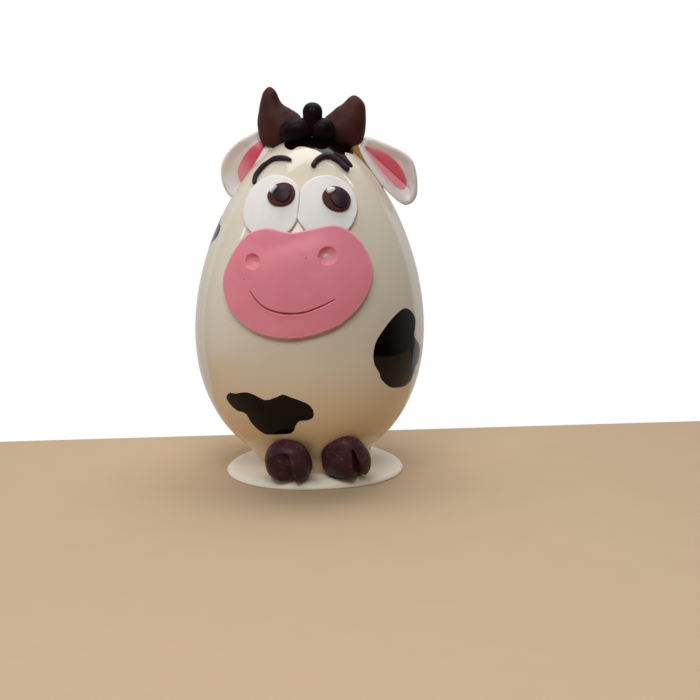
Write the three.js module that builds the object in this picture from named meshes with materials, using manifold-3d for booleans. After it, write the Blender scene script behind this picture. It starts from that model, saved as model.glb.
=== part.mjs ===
// A moulded white chocolate Easter egg, dressed as a cow and standing on a poured chocolate foot.
// Millimetres, +Z up. The origin is on the underside of the foot, below the egg's axis, and the cow looks
// along -Y. Rolled paste pieces (eyes, muzzle, brows) are draped over the shell, and the cow's markings are
// dark chocolate let into it.

import * as THREE from 'three';
import { mergeVertices } from 'three/addons/utils/BufferGeometryUtils.js';
import Module from 'manifold-3d';

// ---------------------------------------------------------------- driving dimensions
const EGG_RADIUS = 73.85; // before the taper, which widens the lower half to 75
const EGG_HALF_HEIGHT = 108.95;
const EGG_MID_HEIGHT = 112.7; // height of the mid-plane above the table
const EGG_TAPER = 0.1844; // how much slimmer the upper half is than the lower
const EGG_TIP_TAPER = 0.0115; // extra slimming towards both ends
const EGG_SIDES = 40;
const EGG_ROWS = 24;

const GAP = 0.3; // between pieces that touch
const PAIR_TURN = 6; // degrees that horns, ears and tuft are turned from the face, to the cow's left

const FOOT_RADIUS = 56.6;
const FOOT_OVAL = 3.0; // the puddle is longer one way
const FOOT_OVAL_TURN = 54;
const FOOT_LOBE = 1.8; // and a little three-cornered
const FOOT_LOBE_TURN = 49;
const FOOT_THICKNESS = 4.6;
const FOOT_RISE = 0.9; // it is thicker under the egg
const FOOT_RIM = 2.1; // radius of its rounded rim
const FOOT_SHIFT = 4.5; // the egg isn't quite in the middle
const FOOT_SIDES = 36;
const WELL_HEIGHT = 8.5; // how high the foot wells up against the egg, most on the cow's right
const WELL_LEAST = 0.07; // share of that height on the other side
const WELL_TURN = -100; // degrees from the front to where it is highest
const WELL_REACH = 10;

const NECK_RADIUS = 37; // where the egg's tip was melted flat, to stand on the foot
const NECK_HEIGHT = 18;
const NECK_SHIFT = 5; // the melted tip sits off the egg's axis

const MARKING_DEPTH = 1.6;
const EYE_THICKNESS = 2.4;
const IRIS_THICKNESS = 1.9;
const PUPIL_THICKNESS = 1.7;
const MUZZLE_THICKNESS = 3.3;
const BROW_RADIUS = 1.65;

const HOOF_DEPTH = 23;
const HOOF_LEAN = 35; // degrees outwards from upright
const CLEFT_LIP = 0.8; // how far the face steps in at a cleft's lip
const SLIT_HALF = 0.2; // half the width of the slit at the bottom of the cleft

const HORN_DEPTH = 0.85; // front-to-back size as a share of the width
const HORN_TIP = 12; // how blunt the tip is
const EAR_LENGTH = 50;
const EAR_THICKNESS = 5;
const EAR_CUP = 5; // how far the ear's sides curl forward
const LINING_THICKNESS = 1.4;

// ---------------------------------------------------------------- finishes
function finish(name, color, roughness) {
  return new THREE.MeshStandardMaterial({ name, color, roughness, metalness: 0 });
}
const whiteChocolate = finish('white_chocolate', 0xdcd0b8, 0.22);
const pouredChocolate = finish('poured_chocolate', 0xcfc2a8, 0.45);
const darkChocolate = finish('dark_chocolate', 0x1b1110, 0.15);
const pinkPaste = finish('pink_paste', 0xd27f8c, 0.5);
const rosePaste = finish('rose_paste', 0xc25263, 0.5);
const whitePaste = finish('white_paste', 0xdedad6, 0.55);
const irisPaste = finish('iris_paste', 0x5e2f26, 0.4);
const darkPaste = finish('dark_paste', 0x2a1c20, 0.4);
const hornPaste = finish('horn_paste', 0x4a2822, 0.5);
const hoofPaste = finish('hoof_paste', 0x3a1f24, 0.4);

// ---------------------------------------------------------------- the egg's surface
const rad = THREE.MathUtils.degToRad;

/** Radius of the egg at an angle from its crown, 0 at the top and PI at the bottom. */
function eggRadius(polar) {
  const t = Math.cos(polar);
  return EGG_RADIUS * Math.sin(polar) * (1 - EGG_TAPER * t - EGG_TIP_TAPER * t * t);
}

function polarAtHeight(z) {
  return Math.acos(THREE.MathUtils.clamp((z - EGG_MID_HEIGHT) / EGG_HALF_HEIGHT, -1, 1));
}

/** A point a given distance off the egg. Longitude 0 is the cow's front, and grows towards its left. */
function onEgg(longitude, polar, lift) {
  const step = 1e-4;
  const slope = (eggRadius(polar + step) - eggRadius(polar - step)) / (2 * step);
  const fall = EGG_HALF_HEIGHT * Math.sin(polar);
  const length = Math.hypot(slope, fall);
  const reach = eggRadius(polar) + (lift * fall) / length;
  const height = EGG_MID_HEIGHT + EGG_HALF_HEIGHT * Math.cos(polar) + (lift * slope) / length;
  return new THREE.Vector3(reach * Math.sin(longitude), -reach * Math.cos(longitude), height);
}

/** Lays a drawing made square-on, in millimetres across and up, over the egg's side that faces a direction. */
function squareOn(facing) {
  return (across, height, lift) => {
    const polar = polarAtHeight(height);
    const turn = Math.asin(THREE.MathUtils.clamp(across / eggRadius(polar), -1, 1));
    return onEgg(rad(facing) + turn, polar, lift);
  };
}

/** Lays a drawing made in degrees away from the crown, across and towards the face, over the egg's top. */
function overCrown(across, forward, lift) {
  return onEgg(Math.atan2(across, forward), rad(Math.hypot(across, forward)), lift);
}

// ---------------------------------------------------------------- closed solids
const wasm = await Module();
wasm.setup();

function volume(geometry) {
  const position = geometry.attributes.position;
  const index = geometry.index.array;
  const corners = [new THREE.Vector3(), new THREE.Vector3(), new THREE.Vector3()];
  let total = 0;
  for (let i = 0; i < index.length; i += 3) {
    corners.forEach((corner, k) => corner.fromBufferAttribute(position, index[i + k]));
    total += corners[0].dot(corners[1].clone().cross(corners[2])) / 6;
  }
  return total;
}

/** Welds a geometry into one closed skin with its faces pointing out. */
function weld(geometry) {
  const bare = geometry.clone();
  bare.deleteAttribute('normal');
  bare.deleteAttribute('uv');
  const welded = mergeVertices(bare, 1e-3);
  if (volume(welded) < 0) {
    welded.setIndex(Array.from(welded.index.array).reverse());
  }
  return welded;
}

/** Moves every vertex of a welded geometry to where the function puts it. */
function reshape(geometry, move) {
  const position = geometry.attributes.position;
  const point = new THREE.Vector3();
  for (let i = 0; i < position.count; i += 1) {
    point.fromBufferAttribute(position, i);
    const moved = move(point);
    position.setXYZ(i, moved.x, moved.y, moved.z);
  }
  return weld(geometry);
}

function toSolid(geometry) {
  const vertProperties = new Float32Array(geometry.attributes.position.array);
  const triVerts = new Uint32Array(geometry.index.array);
  return new wasm.Manifold(new wasm.Mesh({ numProp: 3, vertProperties, triVerts }));
}

/** Cuts away from a piece everything that its neighbours take up. */
function cut(geometry, ...neighbours) {
  let solid = toSolid(geometry);
  for (const neighbour of neighbours) {
    solid = solid.subtract(toSolid(neighbour));
  }
  const mesh = solid.getMesh();
  const result = new THREE.BufferGeometry();
  result.setAttribute('position', new THREE.BufferAttribute(mesh.vertProperties, 3));
  result.setIndex(new THREE.BufferAttribute(mesh.triVerts, 1));
  return result;
}

/** A lathe turned about the Z axis. */
function turned(profile, sides) {
  return weld(new THREE.LatheGeometry(profile, sides).rotateX(Math.PI / 2));
}

// ---------------------------------------------------------------- sheets of paste
/** A smooth closed outline through a few points, with a given number of corners. */
function outlineThrough(points, corners) {
  const curve = new THREE.CatmullRomCurve3(points.map(([x, y]) => new THREE.Vector3(x, y, 0)), true);
  return curve.getSpacedPoints(corners).slice(0, corners).map((p) => new THREE.Vector2(p.x, p.y));
}

function ovalOutline([x, y], [halfWidth, halfHeight], corners, turn = 0) {
  const outline = [];
  for (let i = 0; i < corners; i += 1) {
    const angle = (-2 * Math.PI * i) / corners;
    const corner = new THREE.Vector2(halfWidth * Math.cos(angle), halfHeight * Math.sin(angle));
    outline.push(corner.rotateAround(new THREE.Vector2(), rad(turn)).add(new THREE.Vector2(x, y)));
  }
  return outline;
}

/** Grows an outline evenly all round. */
function grown(outline, by) {
  const count = outline.length;
  const centre = middleOf(outline);
  return outline.map((corner, i) => {
    const along = outline[(i + 1) % count].clone().sub(outline[(i + count - 1) % count]).normalize();
    const out = new THREE.Vector2(along.y, -along.x);
    const away = corner.clone().sub(centre);
    return corner.clone().addScaledVector(out, out.dot(away) > 0 ? by : -by);
  });
}

function middleOf(outline) {
  const sum = outline.reduce((total, corner) => total.add(corner), new THREE.Vector2());
  return sum.divideScalar(outline.length);
}

/** A piece has a rounded rim, and the pocket that clears it has upright sides. */
function rimOf(grow) {
  return grow > 0 ? 0 : 0.5;
}

/**
 * A rolled sheet cut to an outline: a disc turned on a lathe, drawn out to the outline and laid down by a
 * placing function. The dome is how much thicker its middle is than its edge, and round is the share of the
 * thickness that its rim is rounded in by, 0 for the upright sides of a pocket.
 */
function sheet(outline, place, { bottom, top, dome = 0, rings = 4, round = 0.5 }) {
  const centre = middleOf(outline);
  const spread = outline.reduce((sum, corner) => sum + corner.distanceTo(centre), 0) / outline.length;
  const edge = Math.min((round * (top - bottom)) / spread, 0.5);
  const profile = [new THREE.Vector2(0, bottom)];
  for (let ring = 1; ring <= rings; ring += 1) {
    profile.push(new THREE.Vector2(((1 - edge) * ring) / rings, bottom));
  }
  profile.push(new THREE.Vector2(1, THREE.MathUtils.lerp(bottom, top, 0.5)));
  for (let ring = rings; ring >= 0; ring -= 1) {
    const reach = ((1 - edge) * ring) / rings;
    profile.push(new THREE.Vector2(reach, top + dome * (1 - reach * reach)));
  }
  const disc = weld(new THREE.LatheGeometry(profile, outline.length));
  const corners = outline.length;
  return reshape(disc, (point) => {
    const reach = Math.hypot(point.x, point.z);
    const turn = Math.atan2(point.x, point.z) / (2 * Math.PI);
    const corner = outline[(Math.round(turn * corners) + corners) % corners];
    const spot = centre.clone().lerp(corner, reach);
    return place(spot.x, spot.y, point.y);
  });
}

/** A rolled strand of paste with rounded ends, bent along a curve. */
function strand(curve, radiusAt, { sides, steps, depth = 1, grow = 0 }) {
  const profile = [new THREE.Vector2(0, 0)];
  for (let step = 1; step < steps; step += 1) {
    profile.push(new THREE.Vector2(1, step / steps));
  }
  profile.push(new THREE.Vector2(0, 1));
  const rod = weld(new THREE.LatheGeometry(profile, sides));
  return reshape(rod, (point) => {
    const along = (1 - Math.cos(Math.PI * point.y)) / 2;
    const spine = curve.getPoint(along);
    const tangent = curve.getTangent(along);
    const side = new THREE.Vector3(0, -1, 0).cross(tangent).normalize();
    const front = tangent.clone().cross(side);
    const radius = radiusAt(along) + grow;
    return spine
      .addScaledVector(tangent, grow * (2 * along - 1))
      .addScaledVector(side, point.x * radius)
      .addScaledVector(front, point.z * radius * depth);
  });
}

function curveThrough(points) {
  return new THREE.CatmullRomCurve3(points.map(([x, y, z]) => new THREE.Vector3(x, y, z)));
}

// ---------------------------------------------------------------- shell, foot and markings
/** The egg, or the egg grown by a little, standing on the melted neck that ends it above the foot. */
function eggSkin(lift) {
  const base = FOOT_THICKNESS + FOOT_RISE + GAP - lift;
  const profile = [
    [0, base],
    [NECK_RADIUS + lift, base],
    [NECK_RADIUS + 0.7 + lift, base + 3],
    [NECK_RADIUS + 2.6 + lift, base + 7.5],
  ].map(([x, y]) => new THREE.Vector2(x, y));
  const start = polarAtHeight(NECK_HEIGHT);
  for (let row = 0; row < EGG_ROWS; row += 1) {
    const point = onEgg(Math.PI / 2, start * (1 - row / EGG_ROWS), lift);
    profile.push(new THREE.Vector2(point.x, point.z));
  }
  profile.push(new THREE.Vector2(0, onEgg(0, 0, lift).z));
  return reshape(turned(profile, EGG_SIDES), (point) => {
    const shift = NECK_SHIFT * Math.max(0, (NECK_HEIGHT - point.z) / (NECK_HEIGHT - base));
    return point.clone().setX(point.x + shift);
  });
}

function footRadius(angle) {
  return FOOT_RADIUS
    + FOOT_OVAL * Math.cos(2 * (angle + rad(FOOT_OVAL_TURN)))
    + FOOT_LOBE * Math.cos(3 * (angle + rad(FOOT_LOBE_TURN)));
}

/** Share of the welling-up that a side of the foot has. */
function wellShare(angle) {
  const near = 0.5 + 0.5 * Math.cos(angle - rad(WELL_TURN));
  return THREE.MathUtils.lerp(WELL_LEAST, 1, near ** 3);
}

/** A poured puddle with a rounded rim, welling up in the middle where the egg was pressed into it. */
function footShape(lift) {
  const top = FOOT_THICKNESS + lift;
  const flat = top + FOOT_RISE;
  const profile = [
    [0, 0],
    [FOOT_RADIUS - FOOT_RIM, 0],
    [FOOT_RADIUS - 0.3 * FOOT_RIM, 0.3 * FOOT_RIM],
    [FOOT_RADIUS, FOOT_RIM],
    [FOOT_RADIUS - 0.3 * FOOT_RIM, top - 0.4 * FOOT_RIM],
    [FOOT_RADIUS - FOOT_RIM, top],
    [NECK_RADIUS + WELL_REACH, flat],
    [NECK_RADIUS + 0.5 * WELL_REACH, flat + 0.4 * WELL_HEIGHT],
    [NECK_RADIUS + 0.25 * WELL_REACH, flat + WELL_HEIGHT],
    [0, flat + WELL_HEIGHT],
  ].map(([x, y]) => new THREE.Vector2(x, y));
  return reshape(turned(profile, FOOT_SIDES), (point) => {
    const reach = Math.hypot(point.x, point.y);
    const angle = Math.atan2(point.x, -point.y);
    const outer = THREE.MathUtils.smoothstep(reach, NECK_RADIUS + WELL_REACH, FOOT_RADIUS - FOOT_RIM);
    const stretch = 1 + outer * (footRadius(angle) / FOOT_RADIUS - 1);
    const welled = Math.max(point.z - flat, 0) * (reach > 0 ? wellShare(angle) : 0.5);
    const height = Math.min(point.z, flat) + welled;
    return new THREE.Vector3(point.x * stretch + FOOT_SHIFT, point.y * stretch, height);
  });
}

// Each marking: where it faces and its outline, across and up, or over the crown in degrees.
const MARKINGS = {
  marking_front: {
    place: squareOn(-20),
    corners: 26,
    outline: [[-26.5, 58], [-19, 50.8], [-12, 49.2], [-5, 38.2], [3, 36.7], [15, 38.6], [21.5, 46],
      [31, 50.5], [32, 58.5], [24, 64.2], [16.5, 66.5], [5, 62.2], [-8, 65.4], [-21, 63.2]],
  },
  marking_left: {
    place: squareOn(55),
    corners: 26,
    outline: [[8, 116.2], [-3, 113.8], [-16, 104.5], [-22.6, 91], [-18.5, 79.5], [-10, 69.5], [0, 66],
      [13, 65.1], [22, 72], [27.8, 83], [22, 93.3], [16.8, 98.2], [19.6, 105.5]],
  },
  marking_right: {
    place: squareOn(-92),
    corners: 24,
    outline: [[25, 160.5], [26, 156.5], [16, 150], [4, 141], [-9, 139], [-18, 146], [-15, 156], [-21, 165],
      [-12, 173], [0, 168], [10, 170], [18, 164.5]],
  },
  marking_back: {
    place: squareOn(172),
    corners: 26,
    outline: [[26, 112], [33, 98], [21, 86], [14, 72], [-1, 66], [-13, 77], [-28, 82], [-32, 97], [-20, 107],
      [-17, 121], [-3, 128], [9, 118]],
  },
  marking_crown: {
    place: overCrown,
    corners: 32,
    outline: [[-15.6, 7.2], [-14.6, 14.7], [-12.4, 20.3], [-9.4, 22.3], [-5, 21.3], [1, 22], [11.2, 24.2],
      [18, 24.4], [24, 24], [27.6, 20.8], [26.9, 17.6], [23.4, 14.4], [25.6, 6.8], [21.5, -2], [10, -10],
      [-3, -12], [-13, -4]],
  },
};

function markingSheet({ outline, corners, place }, grow, bottom, top) {
  return sheet(grown(outlineThrough(outline, corners), grow), place, { bottom, top, rings: 2, round: 0 });
}

// ---------------------------------------------------------------- face
const face = squareOn(0);
const SEAM = -1.75; // where the two eyes press against each other

const EYES = [
  {
    side: 'right',
    white: { middle: [-18.6, 178.1], half: [17.8, 18.2] },
    iris: { middle: [-12.2, 185], half: [8.3, 6.6], turn: 4 },
    pupil: { middle: [-11.5, 185.3], half: [5.5, 5], turn: 10 },
    glint: { middle: [-15.9, 186.6], half: [2.4, 1.4], turn: 38 },
  },
  {
    side: 'left',
    white: { middle: [14.9, 178.9], half: [17.6, 18.6] },
    iris: { middle: [19.5, 182.9], half: [8.2, 7.2], turn: -12 },
    pupil: { middle: [20.2, 183.2], half: [5.3, 5.5], turn: -20 },
    glint: { middle: [15.6, 186.6], half: [2.5, 1.5], turn: 8 },
  },
];

const MUZZLE = [[-5, 164.3], [-20, 166.1], [-32, 161.6], [-41.5, 149], [-46.8, 133], [-42.5, 118], [-30, 107],
  [-11, 102.3], [7, 103.8], [26, 111.5], [38.2, 124], [42.8, 139], [39, 153], [30, 164], [20, 168.7], [6, 166.6]];
const SMILE = [[-29, 129.4], [-20.5, 121.2], [-8, 117.4], [6.7, 118.6], [21.1, 125.2]];
const NOSTRILS = [[-28.3, 146.4], [17.1, 151.6]];
const NOSTRIL_RADIUS = 4.6;

const BROWS = {
  brow_right: [[-31.9, 191.4], [-30.6, 197.1], [-26.9, 201.2], [-22, 204.5], [-15.9, 205.8], [-9.7, 205.6]],
  brow_left: [[4.7, 203], [7.6, 206], [12.2, 207.2], [17.6, 206], [21.6, 202.8], [25.6, 199.5]],
};

const EYE_TOP = GAP + EYE_THICKNESS;
const IRIS_TOP = EYE_TOP + GAP + IRIS_THICKNESS;

function muzzleSheet(grow) {
  const outline = grown(outlineThrough(MUZZLE, 35), grow);
  const top = GAP + MUZZLE_THICKNESS + grow;
  return sheet(outline, face, { bottom: GAP - grow, top, rings: 5, round: rimOf(grow) });
}

/** The muzzle with its pressed nostrils and the drawn line of the mouth. */
function muzzleShape() {
  const dimples = NOSTRILS.map(([x, z]) => {
    const ball = weld(new THREE.SphereGeometry(NOSTRIL_RADIUS, 12, 8));
    const middle = face(x, z, GAP + MUZZLE_THICKNESS + 0.45 * NOSTRIL_RADIUS);
    return ball.translate(middle.x, middle.y, middle.z);
  });
  const line = curveThrough(SMILE.map(([x, z]) => face(x, z, GAP + MUZZLE_THICKNESS).toArray()));
  const groove = strand(line, () => 0.6, { sides: 5, steps: 12 });
  return cut(muzzleSheet(0), ...dimples, groove);
}

function eyeWhite({ white }) {
  const keepRight = white.middle[0] > SEAM;
  const limit = SEAM + (keepRight ? GAP / 2 : -GAP / 2);
  const outline = ovalOutline(white.middle, white.half, 28);
  for (const corner of outline) {
    corner.x = keepRight ? Math.max(corner.x, limit) : Math.min(corner.x, limit);
  }
  return cut(sheet(outline, face, { bottom: GAP, top: EYE_TOP, rings: 2 }), muzzleSheet(GAP));
}

function glintSheet({ glint }, grow) {
  const half = glint.half.map((size) => size + grow);
  const outline = ovalOutline(glint.middle, half, 10, glint.turn);
  const bottom = IRIS_TOP + GAP - grow;
  return sheet(outline, face, { bottom, top: IRIS_TOP + 1.9 + grow, dome: 0.7, rings: 2, round: rimOf(grow) });
}

// ---------------------------------------------------------------- hooves
// Each hoof: where it stands, how far it is twisted back to the front, its size, and its cleft drawn on the
// hoof's own face: the slit's top and foot, each with its depth, and the lips that open beside it.
const HOOVES = {
  hoof_right: {
    longitude: -7.7,
    twist: 6.5,
    reach: 54.3,
    middle: 17.8,
    size: [30, 38],
    slit: [[-0.6, 17.7, 8], [5, -10, 5]],
    lips: [
      [[-3, -7.2], [-8.6, -2.9], [-10.6, 4], [-8.2, 13]],
      [[7.2, -4], [7.1, 6.3], [4, 14.5]],
    ],
  },
  hoof_left: {
    longitude: 33.8,
    twist: -36.7,
    reach: 51.2,
    middle: 17.1,
    size: [31, 44],
    slit: [[5.2, 18.8, 8], [7.3, -14, 4]],
    lips: [[[12.2, -11.4], [12.7, -2], [10.6, 9.9]]],
  },
};

/** One side of a cleft, to cut away: deep along the slit, and running out at its lip. */
function cleftSide(slit, lip, surface) {
  const past = Math.sign(slit[1][0] - lip[0][0]) * SLIT_HALF;
  const [top, foot] = slit.map(([x, y]) => new THREE.Vector2(x + past, y));
  const outline = new THREE.Shape([top, foot]);
  outline.splineThru([...lip.map(([x, y]) => new THREE.Vector2(x, y)), top]);
  const prism = weld(new THREE.ExtrudeGeometry(outline, { depth: 1, bevelEnabled: false, curveSegments: 3 }));
  return reshape(prism, ({ x, y, z }) => {
    const end = [top, foot].findIndex((corner) => Math.hypot(corner.x - x, corner.y - y) < 0.01);
    const depth = end < 0 ? CLEFT_LIP : slit[end][2];
    return new THREE.Vector3(x, z > 0.5 ? surface(x, y) + depth : -HOOF_DEPTH, y);
  });
}

/** A ball of paste pressed against egg and foot, its front split from below by a cleft. */
function hoofShape({ longitude, twist, reach, middle, size, slit, lips }) {
  const [halfWidth, halfLength] = size.map((whole) => whole / 2);
  const ball = weld(new THREE.SphereGeometry(1, 18, 11));
  ball.scale(halfWidth, HOOF_DEPTH / 2, halfLength);
  const surface = (x, z) => {
    const left = 1 - (x / halfWidth) ** 2 - (z / halfLength) ** 2;
    return (-HOOF_DEPTH / 2) * Math.sqrt(Math.max(left, 0));
  };
  const sides = lips.map((lip) => cleftSide(slit, lip, surface));
  for (const shape of [ball, ...sides]) {
    shape.rotateX(rad(HOOF_LEAN));
    shape.rotateZ(rad(twist));
    shape.translate(0, -reach, middle);
  }
  const pressed = reshape(ball, (point) => point.setZ(Math.max(point.z, FOOT_THICKNESS + FOOT_RISE)));
  const turnBack = -rad(longitude);
  return cut(pressed, eggSkin(GAP).rotateZ(turnBack), footShape(GAP).rotateZ(turnBack), ...sides);
}

// ---------------------------------------------------------------- horns and tuft
// Spine of each horn from its seat on the crown to its tip, in the pair's own front view, and its radii.
const HORNS = {
  horn_right: {
    spine: [[-13, 2, 216], [-17.5, 1, 222], [-22.7, 0, 229.5], [-26, -0.5, 238], [-26.8, -1, 250.6]],
    radii: [11.5, 14.2, 12.5, 8, 0],
  },
  horn_left: {
    spine: [[13, 2, 216], [18, 1, 221], [23, 0, 227], [26.5, -0.5, 234.5], [27.6, -1, 246]],
    radii: [11.5, 14, 12.5, 8.4, 0],
  },
};

/** Reads a radius between the named ones, with the tip rounded off. */
function hornRadius(radii, along) {
  const place = along * (radii.length - 1);
  const low = Math.min(Math.floor(place), radii.length - 2);
  const tapering = THREE.MathUtils.lerp(radii[low], radii[low + 1], place - low);
  return Math.max(tapering, HORN_TIP * Math.sqrt(Math.max(1 - along, 0)));
}

function hornShape({ spine, radii }, grow) {
  const shape = { sides: 13, steps: 12, depth: HORN_DEPTH, grow };
  return strand(curveThrough(spine), (along) => hornRadius(radii, along), shape);
}

const TUFT = {
  tuft_right: { middle: [-10.8, -12, 224.6], half: [10, 7.2, 6.9], turn: -6, tail: 1 },
  tuft_left: { middle: [7.6, -12, 225.6], half: [6.7, 6.8, 6.1], turn: 0, tail: 1 },
  tuft_top: { middle: [0.8, -10.5, 235.7], half: [6.2, 6, 5.9], turn: 0, tail: 1.9 },
};

/** A rolled ball of paste; its tail is how far its underside reaches down into the crevice below. */
function tuftShape({ middle, half, turn, tail }, grow) {
  const ball = weld(new THREE.SphereGeometry(1, 13, 8).rotateX(Math.PI / 2));
  reshape(ball, (point) => point.setZ(point.z < 0 ? point.z * tail : point.z));
  ball.scale(half[0] + grow, half[1] + grow, half[2] + grow);
  return ball.rotateY(rad(turn)).translate(...middle);
}

// ---------------------------------------------------------------- ears
// Half outline of an ear and of its lining: distance along from the root, and out from the middle line.
const EAR_OUTLINE = [[0, -2], [1.5, 5.5], [8, 11.2], [21, 17.4], [32, 16.9], [43.5, 11.3], [49.5, 3.6],
  [47, -3.6], [40, -6.2], [30, -7], [15, -5.6], [3, -4.2]];
const LINING_OUTLINE = [[4, 1.6], [12.2, 6.8], [23, 9.8], [34, 8.2], [38.6, 4.5], [38.4, 0.6], [32, -1.6],
  [18.8, -2.3], [7.5, -1]];

// Each ear: its root by the horn, how steeply it hangs, how far it is turned towards the front, its size, and
// the lining's width and shift across the ear.
const EARS = {
  ear_right: { side: -1, root: [-28.5, 3.5, 220.5], hang: 61, swing: -8, size: 0.95, lining: [0.8, -3] },
  ear_left: { side: 1, root: [32.8, 3.5, 216.8], hang: 51, swing: 6, size: 1.01, lining: [1.05, -0.3] },
};

/** Lays an ear's drawing in space: it hangs out and down from the root, its sides curled forward. */
function earPlace({ side, root, hang, swing, size }) {
  const along = new THREE.Vector3(Math.cos(rad(hang)), 0, -Math.sin(rad(hang)));
  const out = new THREE.Vector3(Math.sin(rad(hang)), 0, Math.cos(rad(hang)));
  const front = new THREE.Vector3(0, -1, 0);
  return (distance, offset, lift) => {
    const curl = (offset - 5) / 12;
    const droop = distance / EAR_LENGTH;
    const spot = new THREE.Vector3()
      .addScaledVector(along, distance * size)
      .addScaledVector(out, offset * size)
      .addScaledVector(front, lift + EAR_CUP * curl * curl - 4 * droop * droop);
    spot.applyAxisAngle(new THREE.Vector3(0, 0, 1), rad(-swing));
    return new THREE.Vector3(side * spot.x, spot.y, spot.z).add(new THREE.Vector3(...root));
  };
}

function earSheet(ear, grow) {
  const outline = grown(outlineThrough(EAR_OUTLINE, 25), grow);
  return sheet(outline, earPlace(ear), { bottom: -grow, top: EAR_THICKNESS + grow, rings: 3, round: rimOf(grow) });
}

function liningSheet(ear, grow) {
  const [width, shift] = ear.lining;
  const points = LINING_OUTLINE.map(([distance, offset]) => [distance, offset * width + shift]);
  const outline = grown(outlineThrough(points, 22), grow);
  const bottom = EAR_THICKNESS - LINING_THICKNESS - grow;
  const top = EAR_THICKNESS + 0.2 + 4 * grow;
  return sheet(outline, earPlace(ear), { bottom, top, rings: 2, round: rimOf(grow) });
}

// ---------------------------------------------------------------- the whole
const cow = new THREE.Group();

function add(parent, name, geometry, material) {
  const mesh = new THREE.Mesh(geometry, material);
  mesh.name = name;
  parent.add(mesh);
  return mesh;
}

const pockets = Object.values(MARKINGS).map((marking) => markingSheet(marking, GAP, -MARKING_DEPTH - GAP, 2));
add(cow, 'egg_shell', cut(eggSkin(0), ...pockets), whiteChocolate);
for (const [name, marking] of Object.entries(MARKINGS)) {
  add(cow, name, markingSheet(marking, 0, -MARKING_DEPTH, 0), darkChocolate);
}
add(cow, 'foot', cut(footShape(0), eggSkin(GAP)), pouredChocolate);

add(cow, 'muzzle', muzzleShape(), pinkPaste);
for (const eye of EYES) {
  const iris = ovalOutline(eye.iris.middle, eye.iris.half, 22, eye.iris.turn);
  const pupil = ovalOutline(eye.pupil.middle, eye.pupil.half, 16, eye.pupil.turn);
  const irisSize = { bottom: EYE_TOP + GAP, top: IRIS_TOP, rings: 2 };
  const pupilSize = { bottom: IRIS_TOP + GAP, top: IRIS_TOP + GAP + PUPIL_THICKNESS, dome: 0.6, rings: 2 };
  add(cow, `eye_white_${eye.side}`, eyeWhite(eye), whitePaste);
  add(cow, `iris_${eye.side}`, sheet(iris, face, irisSize), irisPaste);
  add(cow, `pupil_${eye.side}`, cut(sheet(pupil, face, pupilSize), glintSheet(eye, GAP)), darkPaste);
  add(cow, `glint_${eye.side}`, glintSheet(eye, 0), whitePaste);
}
for (const [name, points] of Object.entries(BROWS)) {
  const line = curveThrough(points.map(([x, z]) => face(x, z, GAP + BROW_RADIUS).toArray()));
  const radiusAt = (along) => BROW_RADIUS * Math.min(1, 0.45 + 4 * along * (1 - along) * 1.4);
  add(cow, name, strand(line, radiusAt, { sides: 8, steps: 12 }), darkPaste);
}

for (const [name, hoof] of Object.entries(HOOVES)) {
  const stand = new THREE.Group();
  stand.rotation.z = rad(hoof.longitude);
  add(stand, name, hoofShape(hoof), hoofPaste);
  cow.add(stand);
}

const head = new THREE.Group();
head.rotation.z = rad(PAIR_TURN);
const tuftCuts = Object.values(TUFT).map((ball) => tuftShape(ball, GAP));
const hornCuts = Object.values(HORNS).map((horn) => hornShape(horn, GAP));
const egg = eggSkin(GAP);
Object.entries(TUFT).forEach(([name, ball], i) => {
  add(head, name, cut(tuftShape(ball, 0), egg, ...tuftCuts.slice(0, i)), darkPaste);
});
Object.entries(HORNS).forEach(([name, horn], i) => {
  add(head, name, cut(hornShape(horn, 0), egg, ...tuftCuts, ...hornCuts.slice(0, i)), hornPaste);
});
for (const [name, ear] of Object.entries(EARS)) {
  add(head, name, cut(earSheet(ear, 0), egg, ...hornCuts, liningSheet(ear, GAP)), whitePaste);
  add(head, `${name}_lining`, cut(liningSheet(ear, 0), egg, ...hornCuts), rosePaste);
}
cow.add(head);

export default cow;
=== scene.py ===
# %% [markdown]
# # A white chocolate egg dressed as a cow
# This lesson dresses a plain engineering model of a confectioner's Easter egg. The engineering model is
# the *frame*: coarse solids of true size, which are already in the right place. We make a fine mesh for each
# piece from the same sizes, give it the finish of chocolate or of modelling paste, and stand the egg on a
# floor in soft studio light. Sizes below are in millimetres, as a confectioner would give them, and become
# metres only where a mesh is made.

# %% Load the frame
import bpy
import numpy as np
from mathutils import Euler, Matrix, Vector


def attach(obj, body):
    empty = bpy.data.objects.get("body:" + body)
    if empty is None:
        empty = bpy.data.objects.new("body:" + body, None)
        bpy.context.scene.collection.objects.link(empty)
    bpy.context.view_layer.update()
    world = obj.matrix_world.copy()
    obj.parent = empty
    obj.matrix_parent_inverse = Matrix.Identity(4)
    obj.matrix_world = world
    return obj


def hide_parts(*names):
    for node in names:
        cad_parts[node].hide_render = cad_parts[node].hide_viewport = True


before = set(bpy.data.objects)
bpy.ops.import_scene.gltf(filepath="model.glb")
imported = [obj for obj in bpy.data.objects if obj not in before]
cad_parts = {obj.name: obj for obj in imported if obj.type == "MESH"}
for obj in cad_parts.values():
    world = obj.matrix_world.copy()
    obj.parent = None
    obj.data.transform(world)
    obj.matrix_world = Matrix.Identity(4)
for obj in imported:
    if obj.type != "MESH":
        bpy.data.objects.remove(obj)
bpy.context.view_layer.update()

MM = 0.001
BODY = "root"
print("nodes in the frame:", len(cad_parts))

# %% [markdown]
# ## The egg as a formula
# Everything on this cow is draped over one surface, so the surface is worth writing down as a formula. An
# egg is an ellipse turned about the upright axis and made slimmer towards the top. `on_egg` gives the point
# at any longitude and polar angle, and can lift it off the surface along the normal. All pieces that lie on
# the shell use it, which is why they fit without any adjusting.

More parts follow.
